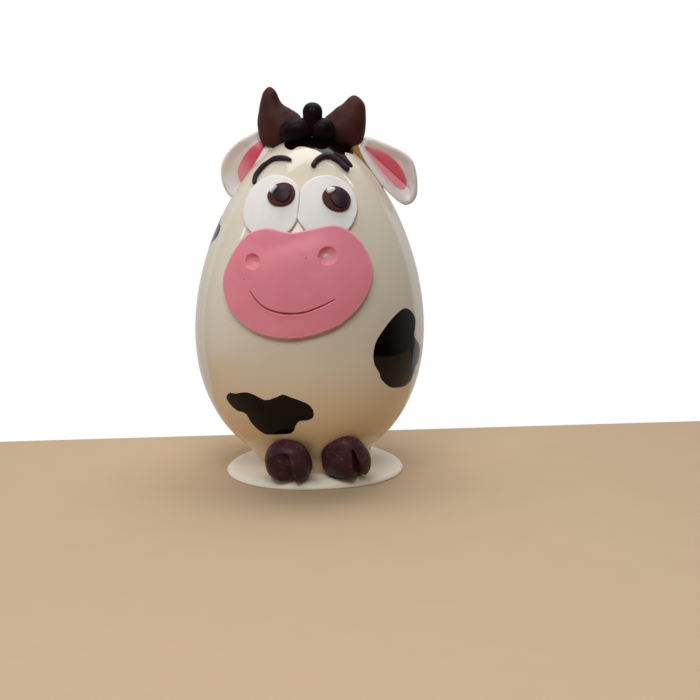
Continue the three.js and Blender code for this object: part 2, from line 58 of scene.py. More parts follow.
# %% The egg's surface
EGG_RADIUS = 73.85
EGG_HALF_HEIGHT = 108.95
EGG_MID_HEIGHT = 112.7
EGG_TAPER = 0.1844
EGG_TIP_TAPER = 0.0115


def egg_radius(polar):
    """Radius at an angle from the crown: 0 at the top, pi at the bottom."""
    t = np.cos(polar)
    return EGG_RADIUS * np.sin(polar) * (1 - EGG_TAPER * t - EGG_TIP_TAPER * t * t)


def polar_at_height(height):
    return np.arccos(np.clip((height - EGG_MID_HEIGHT) / EGG_HALF_HEIGHT, -1, 1))


def on_egg(longitude, polar, lift):
    """A point some way off the egg. Longitude 0 is the cow's front and grows towards its left."""
    step = 1e-4
    slope = (egg_radius(polar + step) - egg_radius(polar - step)) / (2 * step)
    fall = EGG_HALF_HEIGHT * np.sin(polar)
    length = np.hypot(slope, fall)
    reach = egg_radius(polar) + lift * fall / length
    height = EGG_MID_HEIGHT + EGG_HALF_HEIGHT * np.cos(polar) + lift * slope / length
    return np.stack([reach * np.sin(longitude), -reach * np.cos(longitude), height], axis=-1)


def square_on(facing):
    """Lays a drawing made square-on over the egg's side that faces a direction, in degrees."""
    def place(across, height, lift):
        polar = polar_at_height(height)
        turn = np.arcsin(np.clip(across / egg_radius(polar), -1, 1))
        return on_egg(np.radians(facing) + turn, polar, lift)
    return place


def over_crown(across, forward, lift):
    """Lays a drawing made in degrees from the crown over the egg's top."""
    return on_egg(np.arctan2(across, forward), np.radians(np.hypot(across, forward)), lift)


face = square_on(0)
print("widest radius:", round(float(egg_radius(np.linspace(0, np.pi, 400)).max()), 2), "mm")

# %% [markdown]
# ## Tools for curves and skins
# A few small tools make every mesh here. `smooth_loop` and `smooth_line` run a soft curve through a few
# points, as one would draw an outline by hand. `skin` joins rings of points into a closed skin, like slices
# of a loaf, and `sheet` does so for paste that is rolled flat and cut to an outline. `waves` is a cheap,
# repeatable unevenness: a handful of sine waves that run in random but fixed directions. A displaced mesh
# keeps its unevenness in an export, where a shader's bump would be lost.

# %% Curves
CURVE_STEPS = 40  # fine steps between two points of a drawing


def hermite(p0, p1, p2, p3, t):
    """A smooth step from p1 to p2 that heads the way its neighbours do."""
    near = max(np.linalg.norm(p1 - p0), 1e-6) ** 0.5
    span = max(np.linalg.norm(p2 - p1), 1e-6) ** 0.5
    far = max(np.linalg.norm(p3 - p2), 1e-6) ** 0.5
    start = p2 - p1 + span * ((p1 - p0) / near - (p2 - p0) / (near + span))
    end = p2 - p1 + span * ((p3 - p2) / far - (p3 - p1) / (span + far))
    t = t[:, None]
    return ((2 * (p1 - p2) + start + end) * t ** 3 + (3 * (p2 - p1) - 2 * start - end) * t ** 2
            + start * t + p1)


def even_steps(points, count, closed):
    """Spreads points evenly along a fine polyline."""
    walked = np.concatenate([[0], np.cumsum(np.linalg.norm(np.diff(points, axis=0), axis=1))])
    marks = np.linspace(0, walked[-1], count, endpoint=not closed)
    return np.stack([np.interp(marks, walked, points[:, k]) for k in range(points.shape[1])], axis=-1)


def smooth_loop(points, count):
    points = np.array(points, float)
    t = np.linspace(0, 1, CURVE_STEPS, endpoint=False)
    parts = [hermite(*points[[i - 1, i, (i + 1) % len(points), (i + 2) % len(points)]], t)
             for i in range(len(points))]
    fine = np.vstack(parts + [parts[0][:1]])
    return even_steps(fine, count, closed=True)


def smooth_line(points, count):
    points = np.array(points, float)
    padded = np.vstack([2 * points[0] - points[1], points, 2 * points[-1] - points[-2]])
    t = np.linspace(0, 1, CURVE_STEPS, endpoint=False)
    parts = [hermite(*padded[i:i + 4], t) for i in range(len(points) - 1)]
    return even_steps(np.vstack(parts + [points[-1:]]), count, closed=False)


def offset_loop(loop, by):
    """Grows a flat loop evenly by a distance, or shrinks it by a negative one."""
    along = np.roll(loop, -1, axis=0) - np.roll(loop, 1, axis=0)
    along /= np.linalg.norm(along, axis=1)[:, None]
    out = np.stack([along[:, 1], -along[:, 0]], axis=-1)
    area = np.sum(loop[:, 0] * np.roll(loop[:, 1], -1) - loop[:, 1] * np.roll(loop[:, 0], -1))
    return loop + out * by * np.sign(area)


WAVE_COUNT = 8


def waves(points, size, seed):
    """Soft unevenness between about -0.5 and 0.5 whose bumps are roughly one size across."""
    draw = np.random.default_rng(seed)
    ways = draw.normal(size=(WAVE_COUNT, points.shape[-1]))
    ways /= np.linalg.norm(ways, axis=1)[:, None]
    lengths = size * draw.uniform(1.2, 2.6, WAVE_COUNT)
    phases = draw.uniform(0, 2 * np.pi, WAVE_COUNT)
    return np.sin(points @ (ways / lengths[:, None]).T * 2 * np.pi + phases).sum(axis=-1) / WAVE_COUNT


def smooth_step(low, high, value):
    t = np.clip((value - low) / (high - low), 0, 1)
    return t * t * (3 - 2 * t)


print("a loop of", len(smooth_loop([(0, 0), (1, 0), (1, 1)], 12)), "points")

# %% Skins
def skin(start, rings, end):
    """Joins rings of points into one closed skin, from a single point at each end."""
    rows, sides, _ = rings.shape
    points = np.vstack([start, rings.reshape(-1, 3), end])
    index = 1 + np.arange(rows * sides).reshape(rows, sides)
    after = np.roll(index, -1, axis=1)
    faces = [(0, int(b), int(a)) for a, b in zip(index[0], after[0])]
    faces += np.stack([index[:-1], after[:-1], after[1:], index[1:]], axis=-1).reshape(-1, 4).tolist()
    last = len(points) - 1
    faces += [(last, int(a), int(b)) for a, b in zip(index[-1], after[-1])]
    return points, faces


def outward(points, faces):
    """Turns the faces over where they point inwards."""
    corners = np.array([around[:3] for around in faces])
    a, b, c = (points - points.mean(axis=0))[corners].transpose(1, 0, 2)
    inside_out = np.einsum("ij,ij->", a, np.cross(b, c)) < 0
    return [tuple(reversed(around)) for around in faces] if inside_out else faces


def make_piece(name, points, faces, material, slot, *nodes, marks=None):
    """Makes one piece of the egg, in place of its coarse solids. Marks are named values for its finish."""
    mesh = bpy.data.meshes.new(name)
    mesh.from_pydata((points * MM).tolist(), [], outward(points, faces))
    for mark, values in (marks or {}).items():
        layer = mesh.attributes.new(mark, "FLOAT", "POINT")
        layer.data.foreach_set("value", np.asarray(values, np.float32))
    mesh.shade_smooth()
    mesh.materials.append(material)
    piece = bpy.data.objects.new(name, mesh)
    bpy.context.scene.collection.objects.link(piece)
    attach(piece, BODY)
    if nodes:
        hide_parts(*nodes)
    low, high = points.min(axis=0), points.max(axis=0)
    print(f"{name}: {len(points)} points, {np.round(high - low, 1).tolist()} mm")


print("a skin over 2 rings of 4 points has", len(skin([0, 0, 0], np.zeros((2, 4, 3)), [0, 0, 1])[1]), "faces")

# %% Sheets
RIM_TURN = 80  # how far round a rim is rounded to either side of its middle, in degrees
UNDERSIDE_ROWS = 5


def sheet(outline, place, bottom, top, rim, rings, relief=None, ground=None, dome=0.0, rim_steps=9):
    """
    A rolled sheet cut to an outline and laid down by a placing function. The rim is how far its edge is
    rounded in, and the dome how much thicker its middle is than its edge. Relief adds height to its upper
    side, and ground is the height of what it lies on.
    """
    centre = outline.mean(axis=0)
    inner = offset_loop(outline, -rim)
    rows = [(centre + (inner - centre) * reach, 0.0, reach)
            for reach in np.linspace(0, 1, UNDERSIDE_ROWS)]
    for turn in np.radians(np.linspace(-RIM_TURN, RIM_TURN, rim_steps)):
        rows.append((offset_loop(outline, -rim * (1 - np.cos(turn))), 0.5 + 0.5 * np.sin(turn), 1.0))
    rows += [(centre + (inner - centre) * reach, 1.0, reach) for reach in np.linspace(1, 0, rings + 1)]
    flat = np.array([row[0] for row in rows])
    level, reach = np.array([row[1:] for row in rows]).T[..., None]
    upper = top + dome * (1 - reach ** 2) + (relief(flat) if relief else 0)
    lift = bottom + (upper - bottom) * level + (ground(flat) if ground else 0)
    placed = place(flat[..., 0], flat[..., 1], lift)
    points, faces = skin(placed[0, 0], placed[1:-1], placed[-1, 0])
    return points, faces, np.vstack([centre, flat[1:-1].reshape(-1, 2), centre])


square = smooth_loop([(1, 1), (-1, 1), (-1, -1), (1, -1)], 16)
print("a small sheet has", len(sheet(square, face, 0, 1, rim=0.2, rings=4)[0]), "points")

# %% [markdown]
# ## Finishes
# Chocolate and sugar paste are both cloudy, slightly see-through materials: light goes in, wanders and comes
# out again, so all finishes but the darkest have some subsurface scattering. What tells them apart is the
# gloss. Tempered chocolate sets against a polished mould and shines, while paste is dull and satin. Each
# finish could be a network of its own, but one helper builds what they share: a broad noise for uneven
# colour, a fine noise for grain in the surface, and a roughness that varies a little, because fingers
# touched it.

# %% Nodes for a finish
def new_finish(name):
    material = bpy.data.materials.new(name)
    material.use_nodes = True
    nodes, links = material.node_tree.nodes, material.node_tree.links
    shader = nodes["Principled BSDF"]
    place = nodes.new("ShaderNodeTexCoord")
    return material, nodes, links, shader, place.outputs["Object"]


def noise_node(nodes, links, place, per_metre, detail=3.0, twist=0.0):
    noise = nodes.new("ShaderNodeTexNoise")
    noise.inputs["Scale"].default_value = per_metre
    noise.inputs["Detail"].default_value = detail
    noise.inputs["Distortion"].default_value = twist
    links.new(place, noise.inputs["Vector"])
    return noise.outputs["Fac"]


def blend_node(nodes, links, factor, first, second):
    """Mixes two colours, each a tuple or another node's output."""
    mix = nodes.new("ShaderNodeMix")
    mix.data_type = "RGBA"
    links.new(factor, mix.inputs["Factor"])
    for socket, colour in (("A", first), ("B", second)):
        target = [s for s in mix.inputs if s.name == socket and s.type == "RGBA"][0]
        if isinstance(colour, tuple):
            target.default_value = (*colour, 1)
        else:
            links.new(colour, target)
    return [s for s in mix.outputs if s.type == "RGBA"][0]


def range_node(nodes, links, value, low, high, to_low, to_high):
    scale = nodes.new("ShaderNodeMapRange")
    links.new(value, scale.inputs["Value"])
    scale.inputs["From Min"].default_value = low
    scale.inputs["From Max"].default_value = high
    scale.inputs["To Min"].default_value = to_low
    scale.inputs["To Max"].default_value = to_high
    return scale.outputs["Result"]


print("made new_finish, noise_node, blend_node and range_node")

# %% A finish of two tones
PALE_STREAKS_PER_METRE = 170
PALE_STREAK_EDGE = (0.56, 0.72)
PALE_STREAK_MOST = 0.7
# Heights, in metres, over which the shell's painted bounce light fades out.
PAINTED_BOUNCE_HEIGHTS = (0.02, 0.096)


def edible(name, light, dark, rough, grain, patch=60, depth=0.05, cloud=0.2, cloud_reach=2, shine=0.5,
           pale_streak=None, painted_bounce_tint=None, marks=()):
    """
    A cloudy, edible finish: two tones in patches, and a fine grain. Patch and grain say how many of each lie
    along a metre, and the depth of the grain and the reach of the clouding are in millimetres. The streak
    colour is that of paler streaks in random places. The tint for low down is a warm colour painted on the
    lower part, in place of the warm light that bounces up from the floor: painted bounce light. Marks are
    (attribute, colour) pairs that tint the places where a piece carries that attribute.
    """
    material, nodes, links, shader, place = new_finish(name)
    broad = noise_node(nodes, links, place, patch)
    colour = blend_node(nodes, links, range_node(nodes, links, broad, 0.3, 0.7, 0, 1), dark, light)
    if pale_streak:
        streaks = noise_node(nodes, links, place, PALE_STREAKS_PER_METRE, detail=6.0, twist=1.6)
        streak_share = range_node(nodes, links, streaks, *PALE_STREAK_EDGE, 0, PALE_STREAK_MOST)
        colour = blend_node(nodes, links, streak_share, colour, pale_streak)
    # Painted bounce light: the shell is painted warmer low down, in place of warm light bounced up from the
    # floor.
    if painted_bounce_tint:
        height = nodes.new("ShaderNodeSeparateXYZ")
        links.new(place, height.inputs[0])
        low_share = range_node(nodes, links, height.outputs["Z"], *PAINTED_BOUNCE_HEIGHTS, 1, 0)
        colour = blend_node(nodes, links, low_share, colour, painted_bounce_tint)
    for attribute, tint in marks:
        mark = nodes.new("ShaderNodeAttribute")
        mark.attribute_name = attribute
        colour = blend_node(nodes, links, mark.outputs["Fac"], colour, tint)
    links.new(colour, shader.inputs["Base Color"])
    fine = noise_node(nodes, links, place, grain, detail=4.0)
    uneven = range_node(nodes, links, fine, 0.25, 0.75, rough * 0.88, rough * 1.15)
    links.new(uneven, shader.inputs["Roughness"])
    bump = nodes.new("ShaderNodeBump")
    bump.inputs["Strength"].default_value = 1.0
    bump.inputs["Distance"].default_value = depth * MM
    links.new(fine, bump.inputs["Height"])
    links.new(bump.outputs["Normal"], shader.inputs["Normal"])
    shader.inputs["Subsurface Weight"].default_value = cloud
    shader.inputs["Subsurface Radius"].default_value = (1.0, 0.7, 0.45)
    shader.inputs["Subsurface Scale"].default_value = cloud_reach * MM
    shader.inputs["Specular IOR Level"].default_value = shine
    return material


print("the foot tint fades out from", PAINTED_BOUNCE_HEIGHTS[0], "to", PAINTED_BOUNCE_HEIGHTS[1], "m up")

# %% The chocolates
# The shell's warm tint low down is painted bounce light from the floor.
white_chocolate = edible("white_chocolate", (0.76, 0.685, 0.56), (0.73, 0.655, 0.53), rough=0.1, grain=260,
                         patch=14, depth=0.01, cloud=0.12, cloud_reach=3, painted_bounce_tint=(0.79, 0.57, 0.315))
dark_chocolate = edible("dark_chocolate", (0.005, 0.0025, 0.0015), (0.003, 0.0015, 0.001), rough=0.07,
                        grain=300, patch=30, depth=0.005, cloud=0.0, shine=0.17)
poured_chocolate = edible("poured_chocolate", (0.91, 0.845, 0.71), (0.88, 0.81, 0.675), rough=0.4, grain=420,
                          patch=40, cloud=0.12)
amber_chocolate = edible("amber_chocolate", (0.60, 0.28, 0.09), (0.46, 0.19, 0.07), rough=0.35, grain=400)
print("nodes in the shell's finish:", len(white_chocolate.node_tree.nodes))

# %% The pastes
# Its first mark paints the smile's groove dark red, a painted shade, and the specks as dark dirt.
pink_paste = edible("pink_paste", (0.84, 0.27, 0.35), (0.80, 0.235, 0.31), rough=0.52, grain=900, patch=45,
                    depth=0.04, shine=0.3,
                    marks=(("groove_shade_and_specks", (0.30, 0.035, 0.05)), ("torn", (0.66, 0.55, 0.38)),
                           ("edge", (0.80, 0.42, 0.46))))
# The lining's deep red base stands for shade in the ear's cup and light shining through it: painted shade and
# glow. Its mark paints the lit parts paler: painted light.
rose_paste = edible("rose_paste", (0.84, 0.14, 0.19), (0.78, 0.11, 0.155), rough=0.5, grain=900, depth=0.04,
                    shine=0.4, marks=(("lit_lining_paint", (0.90, 0.33, 0.40)),))
white_paste = edible("white_paste", (0.86, 0.83, 0.80), (0.82, 0.79, 0.76), rough=0.6, grain=800, patch=70,
                     shine=0.35)
# The ears' mark paints the white pinker and darker near the lining: painted shade and pink light bounced off
# the lining.
ear_paste = edible("ear_paste", (0.94, 0.92, 0.90), (0.91, 0.885, 0.86), rough=0.55, grain=800, patch=70,
                   cloud=0.35, shine=0.35, marks=(("pink_bounce_shade", (0.86, 0.66, 0.63)),))
iris_paste = edible("iris_paste", (0.105, 0.026, 0.020), (0.070, 0.017, 0.0135), rough=0.5, grain=900,
                    patch=120, depth=0.04, cloud=0.05, shine=0.15)
dark_paste = edible("dark_paste", (0.040, 0.018, 0.027), (0.023, 0.010, 0.015), rough=0.46, grain=700,
                    patch=110, cloud=0.03, shine=0.2)
# The tuft's paste is the dark paste made almost black: painted shade.
shaded_tuft_paste = edible("shaded_tuft_paste", (0.012, 0.004, 0.007), (0.005, 0.0018, 0.003), rough=0.44, grain=700,
                    patch=110, cloud=0.0, shine=0.09)
horn_paste = edible("horn_paste", (0.078, 0.021, 0.017), (0.048, 0.0125, 0.0105), rough=0.55, grain=700,
                    depth=0.06, cloud=0.05, shine=0.15, marks=(("smudge", (0.022, 0.008, 0.009)),))
# The cut mark paints the lips of the slits lighter and redder: a painted highlight.
hoof_paste = edible("hoof_paste", (0.074, 0.023, 0.033), (0.042, 0.012, 0.018), rough=0.45, grain=600,
                    patch=90, depth=0.06, cloud=0.05, shine=0.22, pale_streak=(0.17, 0.085, 0.11),
                    marks=(("cut", (0.22, 0.07, 0.06)),))
print("nodes in the hooves' finish:", len(hoof_paste.node_tree.nodes))

# %% [markdown]
# ## The shell
# The real shell was cast in a polished mould: liquid chocolate is swirled round in two halves and drains to
# a few millimetres. It is shut, so one closed skin stands for it. A fine grid of longitude and latitude
# rings is the natural mesh, because the egg is a turned form. At the bottom the tip was melted flat to
# stand, a little off centre, so the last rings follow a short neck instead. A faint unevenness keeps the
# reflections from looking machined.

# %% Shell
NECK_RADIUS = 37
NECK_HEIGHT = 18
NECK_SHIFT = 5
NECK_BASE = 5.8
SHELL_SIDES = 240
SHELL_ROWS = 200
SHELL_WAVE = 0.16

neck = smooth_line([(NECK_RADIUS, NECK_BASE), (NECK_RADIUS + 0.7, NECK_BASE + 3),
                    (NECK_RADIUS + 2.6, NECK_BASE + 7.5),
                    (float(egg_radius(polar_at_height(NECK_HEIGHT))), NECK_HEIGHT)], 24)[:-1]
polar = polar_at_height(NECK_HEIGHT) * np.linspace(1, 0.004, SHELL_ROWS)
side_line = on_egg(np.pi / 2, polar, 0)[:, [0, 2]]
profile = np.vstack([[(NECK_RADIUS * share, NECK_BASE) for share in (0.3, 0.6, 0.9)], neck, side_line])
longitude = 2 * np.pi * np.arange(SHELL_SIDES) / SHELL_SIDES
rings = np.stack([profile[:, None, 0] * np.sin(longitude), -profile[:, None, 0] * np.cos(longitude),
                  np.repeat(profile[:, None, 1], SHELL_SIDES, axis=1)], axis=-1)
dents = SHELL_WAVE * waves(rings, 34, seed=3) / np.maximum(profile[:, None, 0], 20)
rings[..., :2] *= 1 + dents[..., None]
rings[..., 0] += NECK_SHIFT * np.clip((NECK_HEIGHT - rings[..., 2]) / (NECK_HEIGHT - NECK_BASE), 0, 1)
points, faces = skin([NECK_SHIFT, 0, NECK_BASE], rings, on_egg(0.0, 0.0, 0.0))
make_piece("shell", points, faces, white_chocolate, "white_chocolate", "egg_shell")

# %% [markdown]
# ## The foot
# The egg was pressed into a puddle of white chocolate. A puddle has a rounded rim, is not quite round, and
# wells up against what stands in it, the egg and the hooves. A fluid simulation would be slow and hard to
# steer. We build it like the egg, in rings, and let each ring's height follow how far it is from the rim,
# from the neck and from the two hooves.

# %% Foot
FOOT_RADIUS = 56.6
FOOT_OVAL = 3.0
FOOT_OVAL_TURN = 54
FOOT_LOBE = 1.8
FOOT_LOBE_TURN = 49
FOOT_THICKNESS = 4.6
FOOT_RISE = 0.9
FOOT_LIP = 1.0
FOOT_SLOPE = 7.5
FOOT_SHIFT = 4.5
WELL_HEIGHT = 8.5
WELL_LEAST = 0.07
WELL_TURN = -100
WELL_REACH = 10
FOOT_SIDES = 260
FOOT_RIM_STEPS = 26
FOOT_TOP_STEPS = 40
SEAT_RISE = 1.7
SEAT_REACH = (8, 20)
HOOF_SEATS = [(-7.0, -51.5), (28.0, -42.0)]

angle = 2 * np.pi * np.arange(FOOT_SIDES) / FOOT_SIDES
foot_radius = (FOOT_RADIUS + FOOT_OVAL * np.cos(2 * (angle + np.radians(FOOT_OVAL_TURN)))
               + FOOT_LOBE * np.cos(3 * (angle + np.radians(FOOT_LOBE_TURN))))
well = WELL_LEAST + (1 - WELL_LEAST) * (0.5 + 0.5 * np.cos(angle - np.radians(WELL_TURN))) ** 3
flat = FOOT_THICKNESS + FOOT_RISE
rows = [(0.3 * foot_radius, 0 * angle), (0.7 * foot_radius, 0 * angle)]
for turn in np.linspace(-90, 85, FOOT_RIM_STEPS):
    upper = turn > 0
    inset = (FOOT_SLOPE if upper else FOOT_LIP) * (1 - np.cos(np.radians(turn)))
    height = FOOT_LIP + (FOOT_THICKNESS - FOOT_LIP if upper else FOOT_LIP) * np.sin(np.radians(turn))
    rows.append((foot_radius - inset, 0 * angle + height))
for share in np.linspace(0, 1, FOOT_TOP_STEPS)[1:]:
    reach = (foot_radius - FOOT_SLOPE) * (1 - share) + (NECK_RADIUS - 1) * share
    climb = np.clip((NECK_RADIUS + WELL_REACH - reach) / WELL_REACH, 0, 1) ** 2
    rise = FOOT_RISE * smooth_step(0, 0.6, share)
    rows.append((reach, FOOT_THICKNESS + rise + WELL_HEIGHT * well * climb))
rings = np.array([np.stack([reach * np.sin(angle) + FOOT_SHIFT, -reach * np.cos(angle), height], axis=-1)
                  for reach, height in rows])
top_share = smooth_step(2.0, FOOT_THICKNESS, rings[..., 2])
rings[..., 2] += 0.5 * waves(rings[..., :2], 16, seed=8) * top_share
from_seat = np.min([np.linalg.norm(rings[..., :2] - seat, axis=-1) for seat in HOOF_SEATS], axis=0)
rings[..., 2] += SEAT_RISE * (1 - smooth_step(*SEAT_REACH, from_seat)) * top_share
points, faces = skin([FOOT_SHIFT, 0, 0], rings, [FOOT_SHIFT, 0, flat])
make_piece("poured_foot", points, faces, poured_chocolate, "poured_chocolate", "foot")

# %% [markdown]
# ## Markings
# The dark patches are dark chocolate that was painted into the mould before the white went in, so they are
# level with the shell and share its gloss. A mask in the shell's finish could paint them, but a piece of its
# own keeps its outline sharp. Each is a thin sheet draped over the egg, and its rim dips just under the
# white surface, so the edge is crisp but has no step.

# %% Markings
MARKING_SINK = 0.9
MARKING_PROUD = 0.1
MARKINGS = {
    "marking_front": (square_on(-20), [
        (-26.9, 58.6), (-25.8, 60.6), (-22.4, 62.9), (-18, 63.2), (-12.1, 64.9), (-7.5, 65.5), (-2.2, 64.3),
        (4, 62), (10.9, 64.2), (16.4, 66.6), (20.8, 65), (26, 63.1), (30.9, 60), (32.7, 55.6), (31.6, 51),
        (28.2, 49), (23.4, 48.1), (20.4, 44.4), (18.7, 41), (15.6, 38.7), (8, 37.2), (-1.7, 36.2),
        (-4.6, 37.6), (-9.6, 43), (-12.1, 49), (-15.1, 50.4), (-18.8, 50.4), (-23.6, 53.1), (-26.2, 56)]),
    "marking_left": (square_on(55), [
        (8, 116.1), (3.4, 116.1), (-4, 113.4), (-11, 109), (-17, 103.4), (-20.9, 98.4), (-22.7, 91),
        (-21.5, 84.3), (-17, 77.8), (-15.4, 74.4), (-10, 69.6), (-5, 66.8), (2, 65.3), (12.7, 64.7),
        (19.5, 67.2), (22.8, 72.6), (24, 75.4), (27.2, 77), (29, 82), (29, 86.4), (24.6, 91.2),
        (18.6, 95.6), (17.5, 98.2), (19.2, 102.4), (19.6, 108), (15, 113)]),
    "marking_right": (square_on(-92), [
        (16.9, 164.8), (23.6, 163.6), (27, 160.4), (27, 156.8), (23.9, 154.1), (16.4, 150.6), (4, 141),
        (-9, 139), (-18, 146), (-15, 156), (-21, 165), (-12, 173), (0, 168), (10, 169)]),
    "marking_back": (square_on(172), [
        (26, 112), (33, 98), (21, 86), (14, 72), (-1, 66), (-13, 77), (-28, 82), (-32, 97), (-20, 107),
        (-17, 121), (-3, 128), (9, 118)]),
    "marking_crown": (over_crown, [
        (-15.6, 7.2), (-15.2, 15), (-13.4, 19), (-10.4, 22), (-8.4, 22.2), (-6.5, 20.9), (-4.2, 20.8),
        (-1.5, 21.5), (1.4, 22.4), (5.4, 23.2), (8.6, 24.2), (12, 25), (18, 25.4), (23.2, 24.6),
        (26.4, 23), (27.8, 21.4), (28.1, 19.3), (26.4, 18), (24.2, 16.6), (22.5, 14.6), (22.8, 12.8),
        (24.4, 10.8), (26.6, 7.2), (26.4, 1), (22.5, -4), (10, -10), (-3, -12), (-13, -4)]),
}
for name, (place, drawing) in MARKINGS.items():
    outline = smooth_loop(drawing, 260)
    points, faces, _ = sheet(outline, place, -MARKING_SINK, MARKING_PROUD, rim=0.5, rings=22)
    make_piece(name.replace("marking", "patch"), points, faces, dark_chocolate, "dark_chocolate", name)

# %% [markdown]
# ## The muzzle
# The muzzle is a disc of pink sugar paste, rolled by hand and draped over the shell. It has soft waves from
# the fingers that pressed it on, two nostrils pushed in with a ball tool until the paste tore, and a smile
# drawn with a needle. A bump in the finish could fake the smile but not the nostrils, so all of it is relief
# in a fine mesh. The smile's groove, three dark specks and the torn holes also get a mark on their vertices,
# so that the finish can tint them: painted shade in the groove, and dark dirt for the specks.

# %% The muzzle's outline and smile
GAP = 0.3
PRESSED_IN = 0.1
MUZZLE_THICKNESS = 3.3
MUZZLE = [(-5, 164.3), (-20, 166.1), (-32, 161.6), (-41.5, 149), (-46.8, 133), (-42.5, 118), (-30, 107),
          (-11, 102.3), (7, 103.8), (26, 111.5), (38.2, 124), (42.8, 139), (39, 153), (30, 164),
          (20, 168.7), (6, 166.6)]
SMILE = smooth_line([(-28.4, 128.8), (-23.6, 123.2), (-18.1, 119.6), (-8, 117.3), (3.5, 118), (14.4, 122),
                     (21.4, 125.7)], 160)
SMILE_DEPTH = 0.9
SMILE_HALF = 0.5
EDGE_INSET = 0.9
EDGE_HALF = 0.5


def smile_line(spots, across=0.0):
    """How much of the smile's groove is at each spot, from 0 to 1, or of a line just beside it."""
    flat_spots = spots.reshape(-1, 2)
    near = np.full(len(flat_spots), 1e3)
    along = np.zeros(len(flat_spots))
    for step, point in enumerate(SMILE):
        distance = np.hypot(*(flat_spots - point - (0, across)).T)
        closer = distance < near
        near[closer] = distance[closer]
        along[closer] = step / (len(SMILE) - 1)
    width = SMILE_HALF * (0.35 + 0.65 * np.sin(np.pi * along) ** 0.6)
    return (1 - smooth_step(0.3, 1.7, near / width)).reshape(spots.shape[:-1])


print("the smile is", round(float(np.linalg.norm(np.diff(SMILE, axis=0), axis=1).sum()), 1), "mm long")

# %% Nostrils
# A nostril's upper wall is steep, the lower one slopes out, and the tool broke through at its hole.
NOSTRILS = [
    {"middle": (-27.5, 146.3), "radius": 4.6, "depth": 2.7, "hole": (1.2, -0.4), "hole_half": (1.9, 1.4)},
    {"middle": (16.4, 151.3), "radius": 5.3, "depth": 2.9, "hole": (0.5, 0.1), "hole_half": (2.7, 1.6)},
]
NOSTRIL_WAY = (0.45, -0.89)


def nostril_dent(spots):
    dent = np.zeros(spots.shape[:-1])
    torn = np.zeros(spots.shape[:-1])
    for nostril in NOSTRILS:
        away = spots - nostril["middle"]
        reach = np.hypot(away[..., 0], away[..., 1]) / nostril["radius"]
        lower = np.clip(away @ np.array(NOSTRIL_WAY) / nostril["radius"], -1, 1.2)
        round_share = np.clip(1 - (reach * (1 - 0.1 * lower)) ** 2, 0, 1)
        dent += nostril["depth"] * (1 - 0.6 * lower) * round_share ** 0.65
        hole = (away - nostril["hole"]) / nostril["hole_half"]
        wobble = 1 + 0.55 * waves(spots, 1.6, seed=21)
        inside = np.hypot(hole[..., 0], hole[..., 1]) / wobble
        open_share = 1 - smooth_step(0.7, 1.15, inside)
        curl = np.exp(-((hole[..., 1] - 0.5 * np.sin(2.2 * hole[..., 0])) / 0.3) ** 2)
        dent += 0.9 * open_share * (1 - 0.8 * curl)
        torn += open_share * (1 - 0.4 * curl)
    return dent, torn


dent, _ = nostril_dent(np.array([nostril["middle"] for nostril in NOSTRILS]))
print("the nostrils are", np.round(dent, 1).tolist(), "mm deep in their middles")

# %% Finger marks and specks
# Where fingers pressed the paste: middle, half-sizes along and across, turn, and height gained or lost.
PRESSES = [((-8, 158), (14, 4), 18, -0.9), ((-2, 148), (18, 6), 18, 0.7), ((17, 153), (9, 9), 0, -0.8),
           ((-29, 134), (11, 9), 0, 0.5), ((28, 130), (10, 14), 0, 0.6), ((-30, 121), (6, 10), 30, -0.4)]
SPECKS = [((4.2, 149.4), 0.35), ((-32.2, 135.3), 0.3), ((11.2, 150.6), 0.35)]


def press_height(spots):
    height = 0.35 * waves(spots, 14, seed=5) + 0.12 * waves(spots, 5, seed=6)
    for middle, half, turn, gain in PRESSES:
        c, s = np.cos(np.radians(turn)), np.sin(np.radians(turn))
        away = (spots - middle) @ np.array([[c, -s], [s, c]]) / half
        height += gain * np.exp(-0.5 * (away ** 2).sum(axis=-1))
    return height


def speckled(spots):
    near = [np.hypot(*np.moveaxis(spots - middle, -1, 0)) / radius for middle, radius in SPECKS]
    return 1 - smooth_step(0.6, 1.4, np.min(near, axis=0))


print("presses:", len(PRESSES), "specks:", len(SPECKS))

# %% Lay the muzzle
def distance_to(loop, spots):
    """How far each spot of a drawing is from a loop."""
    near = np.full(spots.shape[:-1], 1e3)
    for point in loop:
        near = np.minimum(near, np.hypot(spots[..., 0] - point[0], spots[..., 1] - point[1]))
    return near


def muzzle_relief(spots):
    dent, _ = nostril_dent(spots)
    return press_height(spots) - dent - SMILE_DEPTH * smile_line(spots) + 0.25 * smile_line(spots, -1.3)


outline = smooth_loop(MUZZLE, 480)
points, faces, spots = sheet(outline, face, -PRESSED_IN, GAP + MUZZLE_THICKNESS, rim=1.3, rings=170,
                             relief=muzzle_relief)
# The smile's groove is painted dark red as shade in it, and the specks are dark dirt.
groove_shade_and_specks = np.maximum(smile_line(spots), speckled(spots))
torn = nostril_dent(spots)[1]
edge = 0.8 * np.exp(-((distance_to(outline, spots) - EDGE_INSET) / EDGE_HALF) ** 2)
make_piece("muzzle_disc", points, faces, pink_paste, "pink_paste", "muzzle",
           marks={"groove_shade_and_specks": groove_shade_and_specks, "torn": torn, "edge": edge})

# %% [markdown]
# ## The eyes
# Each eye is built up like the real one: a white disc, a brown iris pressed onto it, a dark pupil on that
# and a white drop for the glint. All are cut by hand and none is quite round, so each has an outline of its
# own. A flat picture of an eye would be quicker, but the rims of the layers catch the light, so each layer
# is a sheet. The two whites are squashed flat where they press against each other.

